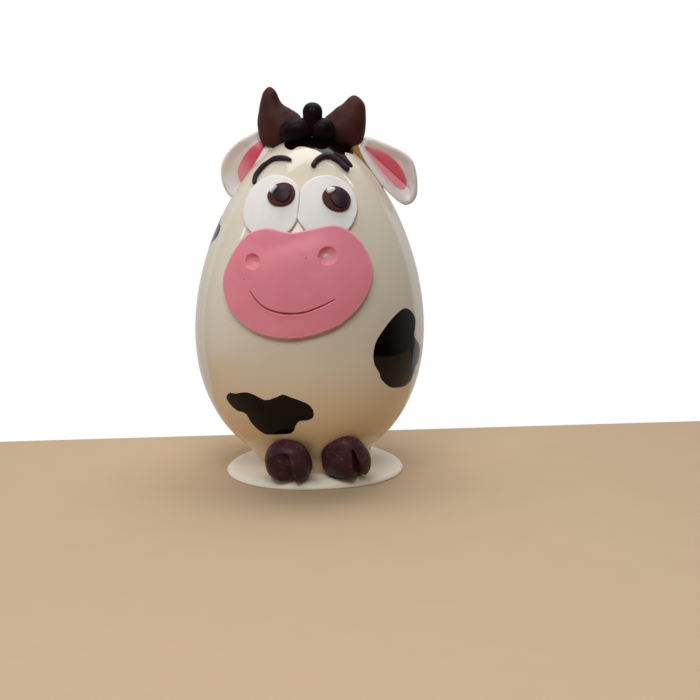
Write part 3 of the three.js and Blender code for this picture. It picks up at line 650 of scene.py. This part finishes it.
# %% Drawings of the eyes
EYE_THICKNESS = 2.4
IRIS_THICKNESS = 1.9
PUPIL_THICKNESS = 1.7
GLINT_HEIGHT = 2.9
IRIS_SINK = 0.5
LAYER_SINK = 0.4
EYE_TOP = GAP + EYE_THICKNESS
IRIS_TOP = EYE_TOP + GAP + IRIS_THICKNESS
EYES = {
    "right": {
        "white": [(-17.9, 196.6), (-11, 195.9), (-5.2, 192.8), (-2.4, 189.1), (-1.8, 182.5), (-2.0, 176.5),
                  (-2.25, 172.3), (-4, 168), (-9, 162.8), (-17, 160), (-26, 160.8), (-33.8, 166),
                  (-36.4, 173), (-36, 179.3), (-33, 187), (-27.8, 192.3), (-22.2, 195.7)],
        "iris": [(-20.6, 183.8), (-19.4, 186.9), (-16.5, 189.9), (-12.5, 191.5), (-8.3, 191.4),
                 (-5.4, 189.5), (-4.1, 186.2), (-4.9, 182.5), (-7.9, 179.5), (-12.3, 178.4),
                 (-16.6, 178.9), (-19.6, 181.2)],
        "pupil": [(-13.9, 189.3), (-11.1, 189.8), (-8.3, 189.4), (-6.6, 187.6), (-6.1, 185.4),
                  (-6.8, 182.9), (-8.4, 180.9), (-10.8, 180.1), (-13.4, 180.9), (-15.8, 182.8),
                  (-16.6, 184.6), (-15.8, 187.2)],
        "glint": [(-14, 188.4), (-14.2, 187.4), (-15.6, 185.8), (-16.8, 184.6), (-17.9, 184.9),
                  (-18.3, 185.9), (-17.6, 187.4), (-16.2, 188.4), (-15, 188.8)]},
    "left": {
        "white": [(13.1, 197.2), (19.7, 195.7), (25.7, 191.7), (30.2, 185.7), (32.4, 178.7), (31.4, 172.2),
                  (28.9, 166.9), (23, 162), (14.5, 160.3), (6.5, 162), (1.8, 166.9), (-0.6, 169.6),
                  (-2.1, 172.3), (-1.87, 176.5), (-1.7, 182.5), (-1.5, 186), (0.1, 191.4), (5.4, 195.6)],
        "iris": [(11.4, 184.6), (12.2, 187.2), (14.2, 189.3), (17.2, 190.1), (20.4, 189.6), (23.6, 187.9),
                 (26.3, 185.1), (27.6, 181.6), (26.6, 177.9), (23.7, 176.1), (19.8, 176.1), (15.9, 177.7),
                 (12.7, 180.9)],
        "pupil": [(17.7, 188.6), (20.5, 188.6), (23, 187.1), (24.9, 184.6), (25.5, 181.6), (24.6, 178.8),
                  (22.2, 177.3), (19.7, 177.9), (17.3, 180.2), (15.5, 183.3), (15.6, 186.7)],
        "glint": [(13.3, 186.9), (13.9, 188), (15.8, 188.4), (17.7, 187.8), (17.9, 186.6), (16.7, 185.5),
                  (15.2, 185), (13.9, 185.7)]},
}
print("an eye is", IRIS_TOP + PUPIL_THICKNESS, "mm thick at its pupil")

# %% Lay the eyes
for side, eye in EYES.items():
    points, faces, _ = sheet(smooth_loop(eye["white"], 260), face, -PRESSED_IN, EYE_TOP, rim=0.8, rings=34,
                             relief=lambda spots: 0.25 * waves(spots, 9, seed=31))
    make_piece("eye_disc_" + side, points, faces, white_paste, "white_paste", "eye_white_" + side)
    points, faces, _ = sheet(smooth_loop(eye["iris"], 160), face, EYE_TOP - IRIS_SINK, IRIS_TOP, rim=0.9,
                             rings=24, relief=lambda spots: 0.15 * waves(spots, 3, seed=32))
    make_piece("iris_disc_" + side, points, faces, iris_paste, "iris_paste", "iris_" + side)
    points, faces, _ = sheet(smooth_loop(eye["pupil"], 140), face, IRIS_TOP - LAYER_SINK,
                             IRIS_TOP + PUPIL_THICKNESS, rim=1.0, rings=24, dome=0.9)
    make_piece("pupil_disc_" + side, points, faces, dark_paste, "dark_paste", "pupil_" + side)
    points, faces, _ = sheet(smooth_loop(eye["glint"], 80), face, IRIS_TOP - LAYER_SINK,
                             IRIS_TOP + GLINT_HEIGHT, rim=0.6, rings=14, dome=0.3)
    make_piece("glint_drop_" + side, points, faces, white_paste, "white_paste", "glint_" + side)

# %% [markdown]
# ## The brows
# A brow is a thin strand of paste, rolled to a taper at both ends and bent with a tool, which leaves small
# flats along it. A bevelled curve would give an even tube, so we skin our own rings along a line on the egg,
# with a radius that changes and a gentle lumpiness.

# %% Rods of paste
def soft_rod(drawing, shares, radii, steps):
    """
    A rod's spine and its radius, in steps that crowd at both ends, where a rod is rounded. The radius is
    smooth between the ones given at shares of the spine's length.
    """
    marks = (1 - np.cos(np.linspace(0, np.pi, steps))) / 2
    fine = smooth_line(drawing, 600)
    spine = np.stack([np.interp(marks, np.linspace(0, 1, 600), column) for column in fine.T], axis=-1)
    table = smooth_line(np.stack([shares, radii], axis=-1), 400)
    return marks, spine, np.interp(marks, table[:, 0], table[:, 1])


def rounded_off(from_end, cap):
    """What is left of a rod's radius near its end, rounded off over the length of a cap."""
    return np.sqrt(1 - (1 - np.clip(from_end / cap, 0, 1)) ** 2)


def strand(spine, radius, sides, lumps, seed, depth=1.0):
    """Skins a rod along its spine. Its lumps and its depth from front to back are shares of its radius."""
    tangent = np.gradient(spine, axis=0)
    tangent /= np.linalg.norm(tangent, axis=1)[:, None]
    side = np.cross([0, -1, 0], tangent)
    side /= np.linalg.norm(side, axis=1)[:, None]
    front = np.cross(tangent, side)
    turn = 2 * np.pi * np.arange(sides)[None, :, None] / sides
    wheel = (np.sin(turn) * side[:, None] + depth * np.cos(turn) * front[:, None]) * radius[:, None, None]
    rings = spine[:, None] + wheel
    rings += wheel * lumps * waves(rings, 3 * float(radius.max()), seed)[..., None]
    return skin(spine[0], rings[1:-1], spine[-1])


rod_marks, _, _ = soft_rod([(0, 0), (1, 0)], (0, 1), (1, 1), 5)
print("a rod's five steps are at", np.round(rod_marks, 2).tolist())

# %% Brows
BROWS = {
    "right": {"line": [(-31.8, 190.6), (-31.5, 194.9), (-29.5, 198.3), (-26.8, 201.4), (-23.3, 204.2),
                       (-19.8, 206.1), (-15.7, 206.7), (-12.1, 206.6), (-8.6, 205.8)],
              "radii": (1.5, 1.6, 1.75, 1.5, 1.75, 1.65, 0.9)},
    "left": {"line": [(4.4, 202.2), (6.3, 205.4), (8.3, 207.2), (11.2, 208.3), (14.2, 208.1), (17.3, 206.7),
                      (20.5, 204.5), (23.3, 201.9), (26, 199.6)],
             "radii": (1.75, 1.7, 1.95, 2, 1.9, 2, 1.6)},
}
BROW_LENGTH = 30
BROW_CAP = 1.5

for seed, (side, brow) in enumerate(BROWS.items()):
    even = np.linspace(0, 1, len(brow["radii"]))
    marks, line, radius = soft_rod(brow["line"], even, brow["radii"], 110)
    radius *= rounded_off(np.minimum(marks, 1 - marks) * BROW_LENGTH, BROW_CAP)
    spine = face(line[:, 0], line[:, 1], 0.7 * radius.max())
    points, faces = strand(spine, radius, 32, lumps=0.12, seed=41 + seed)
    make_piece("brow_strand_" + side, points, faces, dark_paste, "dark_paste", "brow_" + side)

# %% [markdown]
# ## The horns
# A horn starts as a ball of brown paste, is drawn out to a cone and bent. A cone primitive would be too
# straight and too even, so it is one more rod, whose radius is given at each point of its spine. Both horns
# sit on the crown, turned a little to the cow's left, as are the tuft and the ears.

# %% Horns
PAIR_TURN = 6
HORN_DEPTH = 0.85
HORN_SEAT = 0.08
SMUDGE = (-24.2, -4, 243.6)
SMUDGE_REACH = 3
HORNS = {
    "right": {"spine": [(-14, 2, 216.5), (-19.3, 1, 224), (-23.6, 0, 231.5), (-26, -0.5, 238.6),
                        (-26.9, -1, 250.6)],
              "radii": (9, 14.6, 11.6, 7.3, 3.0), "tip": 4.5},
    "left": {"spine": [(14, 2, 216), (20.3, 1, 224), (24.4, 0, 232), (26.8, -0.5, 238.6), (27.2, -1, 246)],
             "radii": (9, 14.2, 11.4, 7.9, 4.9), "tip": 7},
}


def turn_about_axis(points, degrees):
    c, s = np.cos(np.radians(degrees)), np.sin(np.radians(degrees))
    x, y, z = points[..., 0], points[..., 1], points[..., 2]
    return np.stack([c * x - s * y, s * x + c * y, z], axis=-1)


for seed, (side, horn) in enumerate(HORNS.items()):
    steps = np.linalg.norm(np.diff(np.array(horn["spine"]), axis=0), axis=1)
    length = steps.sum()
    knots = np.concatenate([[0], np.cumsum(steps)]) / length
    marks, spine, radius = soft_rod(horn["spine"], knots, horn["radii"], 120)
    radius *= rounded_off(length * (1 - marks), horn["tip"]) * np.sqrt(np.clip(marks / HORN_SEAT, 0, 1))
    points, faces = strand(spine, radius, 110, lumps=0.07, seed=51 + seed, depth=HORN_DEPTH)
    smudge = 0.8 * np.exp(-(np.linalg.norm(points - SMUDGE, axis=1) / SMUDGE_REACH) ** 2)
    make_piece("horn_cone_" + side, turn_about_axis(points, PAIR_TURN), faces, horn_paste, "horn_paste",
               "horn_" + side, marks={"smudge": smudge})

# %% [markdown]
# ## The tuft
# Three balls of dark paste are pressed together between the horns. Their finish is the brows' and pupils'
# dark paste made almost black, which is painted shade. Each is a ball stretched in its three directions,
# drawn out at the bottom where it sticks, and dented by a few soft waves.

# %% Tuft
TUFT = {
    "right": {"middle": (-9.0, -12, 224.8), "half": (11.2, 7.3, 7.2), "turn": -8, "tail": 1.3},
    "left": {"middle": (6.9, -12, 225.3), "half": (7.8, 7, 6.7), "turn": 6, "tail": 1.35},
    "top": {"middle": (0.8, -10.5, 235.4), "half": (6.5, 6.2, 6.2), "turn": 0, "tail": 2.2},
}
BALL_ROWS = 80
BALL_SIDES = 110
BALL_LUMPS = 0.09


def ball_rings(rows, sides):
    """A unit ball in rings from its bottom to its top."""
    rise = np.linspace(np.pi, 0, rows + 2)[1:-1][:, None]
    turn = 2 * np.pi * np.arange(sides) / sides
    return np.stack([np.sin(rise) * np.cos(turn), np.sin(rise) * np.sin(turn),
                     np.repeat(np.cos(rise), sides, axis=1)], axis=-1)


for seed, (name, ball) in enumerate(TUFT.items()):
    rings = ball_rings(BALL_ROWS, BALL_SIDES)
    rings *= 1 + BALL_LUMPS * waves(rings, 1.1, seed=61 + seed)[..., None]
    rings[..., 2] *= np.where(rings[..., 2] < 0, ball["tail"], 1)
    points, faces = skin([0, 0, -ball["tail"]], rings, [0, 0, 1])
    points = points * np.array(ball["half"])
    tilt = np.array(Euler((0, np.radians(ball["turn"]), 0)).to_matrix())
    points = points @ tilt.T + np.array(ball["middle"])
    make_piece("tuft_ball_" + name, turn_about_axis(points, PAIR_TURN), faces, shaded_tuft_paste, "dark_paste",
               "tuft_" + name)

# %% [markdown]
# ## Ears
# An ear is a thick white sheet, cupped between two fingers and let hang from beside the horn, with a pink
# lining pressed into it along a fold. Sculpting would do, but a drawing is easier to correct: we draw both
# flat, in distance from the root and offset across, and a placing function bends the drawing into space.

# %% Drawings of the ears
EAR_LENGTH = 50
EAR_THICKNESS = 5
EAR_CUP = 5
EAR_CUP_MIDDLE = 5
EAR_CUP_REACH = 12
EAR_DROOP = 4
TUCK_REACH = 12
DISH = 1.7
DISH_EDGE = (1.8, 7.5)
LIP_HEIGHT = 3.0
LIP_EDGE = (3.2, 5.0)
FOLD = 2.3
FOLD_WIDTH = 2.6
FOLD_START = (0, 8)
FOLD_END = (37, 45)
LINING_SINK = 0.7
LINING_RISE = 0.55
EARS = {
    "right": {
        "side": -1, "root": (-28.5, 3.5, 220.5), "hang": 61, "swing": -8, "size": 0.95,
        "outline": [(-2, 3), (1, 7.6), (7.4, 11.8), (15.8, 15.2), (23.7, 16.8), (31, 16.6), (37, 14.8),
                    (42, 12.1), (46.7, 8), (49.4, 3.8), (49.5, 0), (46, -4), (38, -6.5), (28, -7.2),
                    (17, -7), (8, -7.4), (0, -7)],
        "lining": [(3, 0.2), (5.7, 1.8), (8.9, 3.4), (12.7, 4.7), (19, 6), (26.3, 6.1), (31.4, 5.1),
                   (34.6, 3), (37, 0), (36, -3.2), (30, -3.6), (24.4, -2.6), (19.9, -2.6), (14, -3.1),
                   (8.3, -2.9), (4, -2.2)],
        # The spot is where the lining is painted darkest, as shade; its reach is where that painted shade
        # fades out.
        "crease": (-2.4, 0.03), "deep": (16, -1.5), "deep_reach": (3, 15), "tuck": 6},
    "left": {
        "side": 1, "root": (32.8, 3.5, 216.8), "hang": 51, "swing": 6, "size": 1.01,
        "outline": [(-1, 3), (1.6, 6.6), (7.1, 10), (11.6, 12.6), (17.8, 16), (24.8, 18.3), (31, 17.8),
                    (38.4, 14.3), (44.6, 10), (48.6, 6.2), (50.4, 1.6), (49.2, -2.9), (44.2, -5.1),
                    (37.8, -6.2), (31.4, -6.8), (25.2, -6.8), (17.3, -6.4), (10.1, -5.7), (3.6, -4.5),
                    (1.4, -2.6)],
        "lining": [(3.6, 0.2), (5.4, 1.8), (8.3, 3.7), (11.6, 5.9), (16.3, 8.2), (20.9, 9.4), (25.9, 9.7),
                   (30.9, 9.2), (35.8, 7.5), (39.2, 5.2), (40.4, 2.5), (39.3, 0.8), (36.2, -0.6),
                   (31.9, -1.3), (25.9, -1.7), (19, -1.6), (12.1, -1.4), (8.1, -1), (4.8, -0.4)],
        "crease": (-1.8, 0.167), "tuck": 0},
}
print("ears hang", [ear["hang"] for ear in EARS.values()], "degrees below level")

# %% Bend an ear into place
def ear_place(ear):
    """
    Lays an ear's drawing in space: out and down from its root, with its sides curled forward. The tuck is
    how far its root is bent back behind the horn.
    """
    hang = np.radians(ear["hang"])
    along = np.array([np.cos(hang), 0, -np.sin(hang)])
    out = np.array([np.sin(hang), 0, np.cos(hang)])

    def place(distance, offset, lift):
        curl = (offset - EAR_CUP_MIDDLE) / EAR_CUP_REACH
        droop = distance / EAR_LENGTH
        tucked = ear["tuck"] * (1 - smooth_step(0, TUCK_REACH, distance))
        forward = lift + EAR_CUP * curl * curl - EAR_DROOP * droop * droop - tucked
        spot = distance[..., None] * ear["size"] * along + offset[..., None] * ear["size"] * out
        spot = spot + forward[..., None] * np.array([0, -1, 0])
        return turn_about_axis(spot, -ear["swing"]) * np.array([ear["side"], 1, 1]) + np.array(ear["root"])
    return place


def above_crease(ear, spots):
    """How far each spot of an ear's drawing is above its crease."""
    start, slope = ear["crease"]
    return spots[..., 1] - start - slope * spots[..., 0]


def hollow(ear, outline, spots):
    """
    The sheet is thick at its border and pressed down inside it. Below the crease its border is a steep lip.
    The crease itself is a fold, which runs out at both ends.
    """
    above, inward = above_crease(ear, spots), distance_to(outline, spots)
    below = 1 - smooth_step(-1.5, 1.5, above)
    soft = DISH * smooth_step(*DISH_EDGE, inward)
    steep = LIP_HEIGHT * smooth_step(*LIP_EDGE, inward)
    ends = smooth_step(*FOLD_START, spots[..., 0]) * (1 - smooth_step(*FOLD_END, spots[..., 0]))
    fold = FOLD * ends * np.exp(-np.sqrt(above ** 2 + 0.15) / FOLD_WIDTH)
    return -soft * (1 - below) - steep * below - fold


def painted_lining_light(ear, lining, spots):
    """Where a lining is painted pale, as lit: away from its spot of painted shade, or else along its edge and
    below its crease.
    """
    if "deep" in ear:
        return smooth_step(*ear["deep_reach"], np.hypot(*(spots - ear["deep"]).T))
    below = 1 - smooth_step(-0.4, 0.2, above_crease(ear, spots))
    band = 0.8 + 1.6 * (1 - smooth_step(9, 20, spots[:, 0]))
    return np.maximum(below, 0.8 * np.exp(-(distance_to(lining, spots) / band) ** 2))


print("an ear's tip droops back by", EAR_DROOP, "mm")

# %% Lay the ears
def lay_ear(seed, side, ear):
    place = ear_place(ear)
    outline = smooth_loop(ear["outline"], 260)
    lining = smooth_loop(ear["lining"], 220)

    def pressed(spots):
        return hollow(ear, outline, spots)

    def white_relief(spots):
        return pressed(spots) + 0.35 * waves(spots, 7, seed=81 + seed)

    points, faces, spots = sheet(outline, place, 0.0, EAR_THICKNESS, rim=2.4, rings=52, relief=white_relief,
                                 rim_steps=15)
    # The white is painted pinker and darker near the lining, as painted shade with pink bounce light.
    make_piece("ear_sheet_" + side, turn_about_axis(points, PAIR_TURN), faces, ear_paste, "white_paste",
               "ear_" + side, marks={"pink_bounce_shade": 0.5 * np.exp(-distance_to(lining, spots) / 4)})
    points, faces, spots = sheet(lining, place, EAR_THICKNESS - LINING_SINK, EAR_THICKNESS + LINING_RISE,
                                 rim=0.6, rings=36, ground=pressed)
    # The pale mark paints light on the lining: paler where it is lit, deep red where it lies in shade.
    make_piece("ear_pink_" + side, turn_about_axis(points, PAIR_TURN), faces, rose_paste, "rose_paste",
               "ear_" + side + "_lining", marks={"lit_lining_paint": painted_lining_light(ear, lining, spots)})


for seed, (side, ear) in enumerate(EARS.items()):
    lay_ear(seed, side, ear)

# %% [markdown]
# ## The amber bead
# A thin amber bead fills the gap between the cow's left ear and the shell and runs out to a point. It is a
# rod too, along a line on the egg.

# %% Amber bead
# Each point is a longitude, a polar angle and a height above the shell.
BEAD_LINE = [(92, 23.5, 3.8), (92, 26.2, 2.1), (92, 28, 1.3), (92, 30.9, 1), (92, 33, 0.6), (92, 36, 0.1),
             (92, 40, 0), (92, 47, 0)]
BEAD_RADII = (2.5, 2.5, 2.0, 1.3, 0.75, 0.5, 0.45, 0.4, 0.3)
BEAD_LENGTH = 40
BEAD_CAP = 1.0
marks, line, radius = soft_rod(BEAD_LINE, np.linspace(0, 1, len(BEAD_RADII)), BEAD_RADII, 90)
radius *= rounded_off(np.minimum(marks, 1 - marks) * BEAD_LENGTH, BEAD_CAP)
spine = on_egg(np.radians(line[:, 0]), np.radians(line[:, 1]), line[:, 2])
points, faces = strand(spine, radius, 28, lumps=0.25, seed=91)
make_piece("amber_bead", points, faces, amber_chocolate, "poured_chocolate")

# %% [markdown]
# ## Hooves
# Each hoof is a ball of paste pressed into the corner between egg and foot, and split with a knife. A
# boolean cut would be too clean. We bend the ball's grid so that one line of it runs exactly down the slit,
# and then sink the grid beside that line: steeply on one side, gently on the other, as the blade went in at
# a slant. Last, the underside is squashed softly against the foot.

# %% Drawings of the hooves
HOOF_DEPTH = 23
HOOF_LEAN = 35
HOOF_ROWS = 200
HOOF_COLUMNS = 300
HOOF_LUMPS = 0.045
HOOF_SQUASH = 2.4
HOOF_CLEARANCE = 0.4
CLEFT_LIP = 0.8
# Each lip is a list of (share of the way down the slit, distance from the slit).
HOOVES = {
    "right": {"longitude": -7.7, "twist": 6.5, "reach": 54.3, "middle": 17.8, "size": (30, 35),
              "square": 2.25, "slit": ((-0.6, 16.2), (3.6, -10)), "depth": (5.6, 4.2),
              "left_lip": [(0, 0.3), (0.05, 4.7), (0.16, 8.9), (0.3, 12.2), (0.5, 13.9), (0.68, 13.4),
                           (0.85, 10.2), (1, 6), (1.2, 2)],
              "right_lip": [(0, 0.3), (0.06, 2.6), (0.2, 3.6), (0.45, 4), (0.75, 3.2), (1, 1.6),
                            (1.2, 0.8)],
              "left_power": 1.8, "right_power": 1.1},
    "left": {"longitude": 33.8, "twist": -36.7, "reach": 51.2, "middle": 17.5, "size": (32, 41),
             "square": 2.0, "slit": ((5.2, 17.6), (7.3, -14)), "depth": (8.0, 6.5),
             "left_lip": [(0, 0.2), (0.5, 0.6), (1.2, 0.8)],
             "right_lip": [(0, 0.3), (0.11, 2.5), (0.27, 3.8), (0.47, 5.2), (0.66, 5.5), (1, 5), (1.2, 4)],
             "left_power": 1.0, "right_power": 0.9},
}
print("hooves are", [hoof["size"] for hoof in HOOVES.values()], "mm across and long")

# %% A ball with a line down its slit
def hoof_grid(hoof):
    """
    A squarish ball in rings, with one line of its grid along the slit. Also gives how far down the slit each
    spot is, how far aside of it, and how squarely it faces the front.
    """
    half_width, half_length = hoof["size"][0] / 2, hoof["size"][1] / 2
    (top_x, top_z), (foot_x, foot_z) = hoof["slit"]
    rise = np.sin(np.linspace(-np.pi / 2, np.pi / 2, HOOF_ROWS + 2)[1:-1])[:, None]
    z = half_length * rise
    fullness = (1 - np.abs(rise) ** hoof["square"]) ** (1 / hoof["square"])
    down = (top_z - z) / (top_z - foot_z)
    slit_x = top_x + (foot_x - top_x) * down
    even = np.linspace(-1, 1, HOOF_COLUMNS, endpoint=False)[None, :]
    turn = np.pi * (0.4 * even + 0.6 * even ** 3)
    ahead = np.clip(1 - (2 * turn / np.pi) ** 2, 0, 1)
    bent = turn + np.arcsin(np.clip(slit_x / (half_width * fullness), -0.75, 0.75)) * ahead
    x = half_width * fullness * np.sin(bent)
    y = -0.5 * HOOF_DEPTH * fullness * np.cos(bent)
    rings = np.stack([x, y, np.repeat(z, HOOF_COLUMNS, axis=1)], axis=-1)
    return rings, down, x - slit_x, ahead


print("points in a hoof's grid:", hoof_grid(HOOVES["left"])[0].shape[:2])

# %% Cut and lay the hooves
def cleft_side(aside, spread, power, depth):
    """How far one side of a cleft is sunk, and how much painted highlight each spot gets near its lip, from 0
    to 1.
    """
    share = np.clip(1 - aside / spread, 0, 1) * (aside >= 0)
    sunk = CLEFT_LIP * smooth_step(0, 0.07, share) + (depth - CLEFT_LIP) * share ** power
    return sunk * (share > 0), np.exp(-((share - 0.03) / 0.04) ** 2) * (share > 0)


def cleft(hoof, down, aside, ahead):
    """How far the slit sinks each spot of a hoof, and how much painted highlight the spot gets near a cut
    lip.
    """
    depth = hoof["depth"][0] + (hoof["depth"][1] - hoof["depth"][0]) * np.clip(down, 0, 1)
    sunk, cut = np.zeros(aside.shape), np.zeros(aside.shape)
    for way, name in ((-1, "left"), (1, "right")):
        lip = smooth_line(hoof[name + "_lip"], 200)
        spread = np.interp(down, lip[:, 0], lip[:, 1])
        side_sunk, side_lip_highlight = cleft_side(way * aside, spread, hoof[name + "_power"], depth)
        sunk = np.maximum(sunk, side_sunk)
        cut = np.maximum(cut, side_lip_highlight)
    return sunk * smooth_step(0, 0.1, down) * (ahead > 0.01), cut * smooth_step(0.35, 0.7, down)


for seed, (side, hoof) in enumerate(HOOVES.items()):
    rings, down, aside, ahead = hoof_grid(hoof)
    sunk, cut = cleft(hoof, down, aside, ahead)
    rings += HOOF_LUMPS * waves(rings, 8, seed=71 + seed)[..., None] * rings
    rings[..., 1] += sunk
    half_length = hoof["size"][1] / 2
    points, faces = skin([0, 0, -half_length], rings, [0, 0, half_length])
    lean = np.array(Euler((np.radians(HOOF_LEAN), 0, 0)).to_matrix())
    points = turn_about_axis(points @ lean.T, hoof["twist"]) + np.array([0, -hoof["reach"], hoof["middle"]])
    low = points[:, 2] - flat - HOOF_CLEARANCE
    points[:, 2] = flat + HOOF_CLEARANCE + 0.5 * (low + np.hypot(low, HOOF_SQUASH))
    # The cut mark is a painted highlight along the slit's lips.
    make_piece("hoof_ball_" + side, turn_about_axis(points, hoof["longitude"]), faces, hoof_paste,
               "hoof_paste", "hoof_" + side, marks={"cut": np.concatenate([[0], cut.reshape(-1), [0]])})

# %% [markdown]
# ## Floor and light
# A sweet shows best on a plain surface under large, soft lights. The floor ends a little behind the cow and
# slopes away from there, so that all beyond it stays white. One light hangs over the cow and a stronger one
# high in front of it. Two thin strips, up on either side, draw a fine streak of light on the shell each. The
# walls of the studio glow softly on the cow's right, on its left and above its back, and a white card behind
# it gives the shell its long side reflections. The picture of a real room could light it too, but a few soft
# glows are easier to place.

# %% Floor
TABLE_SIDE = 0.37
TABLE_FRONT = -0.37
TABLE_BACK = 0.09
TABLE_SKEW = 0.2475
APRON_DROP = 0.2
APRON_REACH = 0.4
floor_mesh = bpy.data.meshes.new("floor")
left_back, right_back = TABLE_BACK - TABLE_SKEW * TABLE_SIDE, TABLE_BACK + TABLE_SKEW * TABLE_SIDE
corners = [(-TABLE_SIDE, TABLE_FRONT, 0), (TABLE_SIDE, TABLE_FRONT, 0), (TABLE_SIDE, right_back, 0),
           (-TABLE_SIDE, left_back, 0), (TABLE_SIDE, right_back + APRON_REACH, -APRON_DROP),
           (-TABLE_SIDE, left_back + APRON_REACH, -APRON_DROP)]
floor_mesh.from_pydata(corners, [], [(0, 1, 2, 3), (3, 2, 4, 5)])
floor = bpy.data.objects.new("floor", floor_mesh)
bpy.context.scene.collection.objects.link(floor)
material, nodes, links, shader, place = new_finish("floor")
grain = noise_node(nodes, links, place, 40)
tones = blend_node(nodes, links, grain, (0.56, 0.415, 0.27), (0.53, 0.39, 0.25))
links.new(tones, shader.inputs["Base Color"])
shader.inputs["Roughness"].default_value = 0.8
shader.inputs["Specular IOR Level"].default_value = 0.2
floor_mesh.materials.append(material)
print("the floor is", 2 * TABLE_SIDE, "m wide")

# %% Lamps
LAMPS = {
    "light_above": {"place": (-0.03, 0.12, 1.05), "aim": (0, 0, 0.12), "size": (0.9, 0.4), "power": 4.6},
    "light_front": {"place": (-0.03, -0.9, 1.05), "aim": (0, 0, 0.12), "size": (0.9, 0.44), "power": 9.4},
    "strip_cows_left": {"place": (0.66, 0.11, 0.95), "aim": (0.026, -0.032, 0.195),
                        "size": (0.004, 0.157), "power": 0.168},
    "strip_cows_right": {"place": (-0.945, -0.028, 0.581), "aim": (-0.037, -0.047, 0.163),
                         "size": (0.004, 0.085), "power": 0.072},
}
for name, lamp in LAMPS.items():
    light = bpy.data.lights.new(name, "AREA")
    light.shape = "RECTANGLE"
    light.size, light.size_y = lamp["size"]
    light.energy = lamp["power"]
    holder = bpy.data.objects.new(name, light)
    holder.location = lamp["place"]
    ray = Vector(lamp["aim"]) - Vector(lamp["place"])
    holder.rotation_euler = ray.to_track_quat("-Z", "Y").to_euler()
    bpy.context.scene.collection.objects.link(holder)
    print(name, "gives", lamp["power"], "W")

# %% The studio round the egg
CARD_WAY = (-0.1, 1, 0)
CARD_EDGE = (0.635, 0.655)
CARD = 0.6
# Each glow of the studio's walls: which way it lies from the egg and how bright it is there. An edge holds
# the cosines of the angles, away from that way, at which a glow or the card starts and is full.
GLOWS = [((-1, 0, 0.09), 1.0), ((0.8, 0.55, 0.26), 0.4), ((0, 0.5, 0.87), 0.3)]
GLOW_EDGE = (0.7, 1.0)


def plain_light(nodes):
    background = nodes.new("ShaderNodeBackground")
    background.inputs["Color"].default_value = (1, 1, 1, 1)
    background.inputs["Strength"].default_value = 1.0
    return background


def vector_node(nodes, links, operation, vector, other=None):
    node = nodes.new("ShaderNodeVectorMath")
    node.operation = operation
    links.new(vector, node.inputs[0])
    if other:
        node.inputs[1].default_value = other
    return node.outputs["Value" if operation == "DOT_PRODUCT" else "Vector"]


world = bpy.data.worlds.new("studio")
bpy.context.scene.world = world
world.use_nodes = True
nodes, links = world.node_tree.nodes, world.node_tree.links
nodes.clear()
way_out = nodes.new("ShaderNodeTexCoord").outputs["Generated"]
level_way = vector_node(nodes, links, "NORMALIZE", vector_node(nodes, links, "MULTIPLY", way_out, (1, 1, 0)))
toward_card = vector_node(nodes, links, "DOT_PRODUCT", level_way, Vector(CARD_WAY).normalized())
total = range_node(nodes, links, toward_card, *CARD_EDGE, 0, CARD)
for way, strength in GLOWS:
    toward = vector_node(nodes, links, "DOT_PRODUCT", way_out, Vector(way).normalized())
    add = nodes.new("ShaderNodeMath")
    add.operation = "ADD"
    links.new(total, add.inputs[0])
    links.new(range_node(nodes, links, toward, *GLOW_EDGE, 0, strength), add.inputs[1])
    total = add.outputs["Value"]
room, white = plain_light(nodes), plain_light(nodes)
links.new(total, room.inputs["Strength"])
ray = nodes.new("ShaderNodeLightPath")
mix = nodes.new("ShaderNodeMixShader")
out = nodes.new("ShaderNodeOutputWorld")
links.new(ray.outputs["Is Camera Ray"], mix.inputs["Fac"])
links.new(room.outputs["Background"], mix.inputs[1])
links.new(white.outputs["Background"], mix.inputs[2])
links.new(mix.outputs["Shader"], out.inputs["Surface"])
bpy.context.scene.view_settings.view_transform = "Standard"
print("nodes in the studio:", len(nodes))

# %% [markdown]
# ## The camera
# It stands almost a metre in front of the cow, just higher than its horns and a little to its left, and
# looks slightly down. A longish lens from there keeps the egg's shape true, where a wide one close by would
# swell the muzzle. It is tipped a touch to one side too, which makes the view less stiff.

# %% Camera
CAMERA_PLACE = (0.0970, -0.9229, 0.2721)
CAMERA_DOWN = 11.68
CAMERA_TURN = 4.356
CAMERA_ROLL = 0.79
camera_data = bpy.data.cameras.new("camera")
camera_data.lens = 73.8
camera_data.sensor_width = 36
camera = bpy.data.objects.new("camera", camera_data)
camera.location = CAMERA_PLACE
turned = Euler((np.radians(90 - CAMERA_DOWN), 0, np.radians(CAMERA_TURN))).to_matrix()
rolled = Euler((0, 0, np.radians(CAMERA_ROLL))).to_matrix()
camera.rotation_euler = (turned @ rolled).to_euler()
bpy.context.scene.collection.objects.link(camera)
bpy.context.scene.camera = camera
print("the camera is", round(Vector(CAMERA_PLACE).length, 2), "m from the egg's foot")
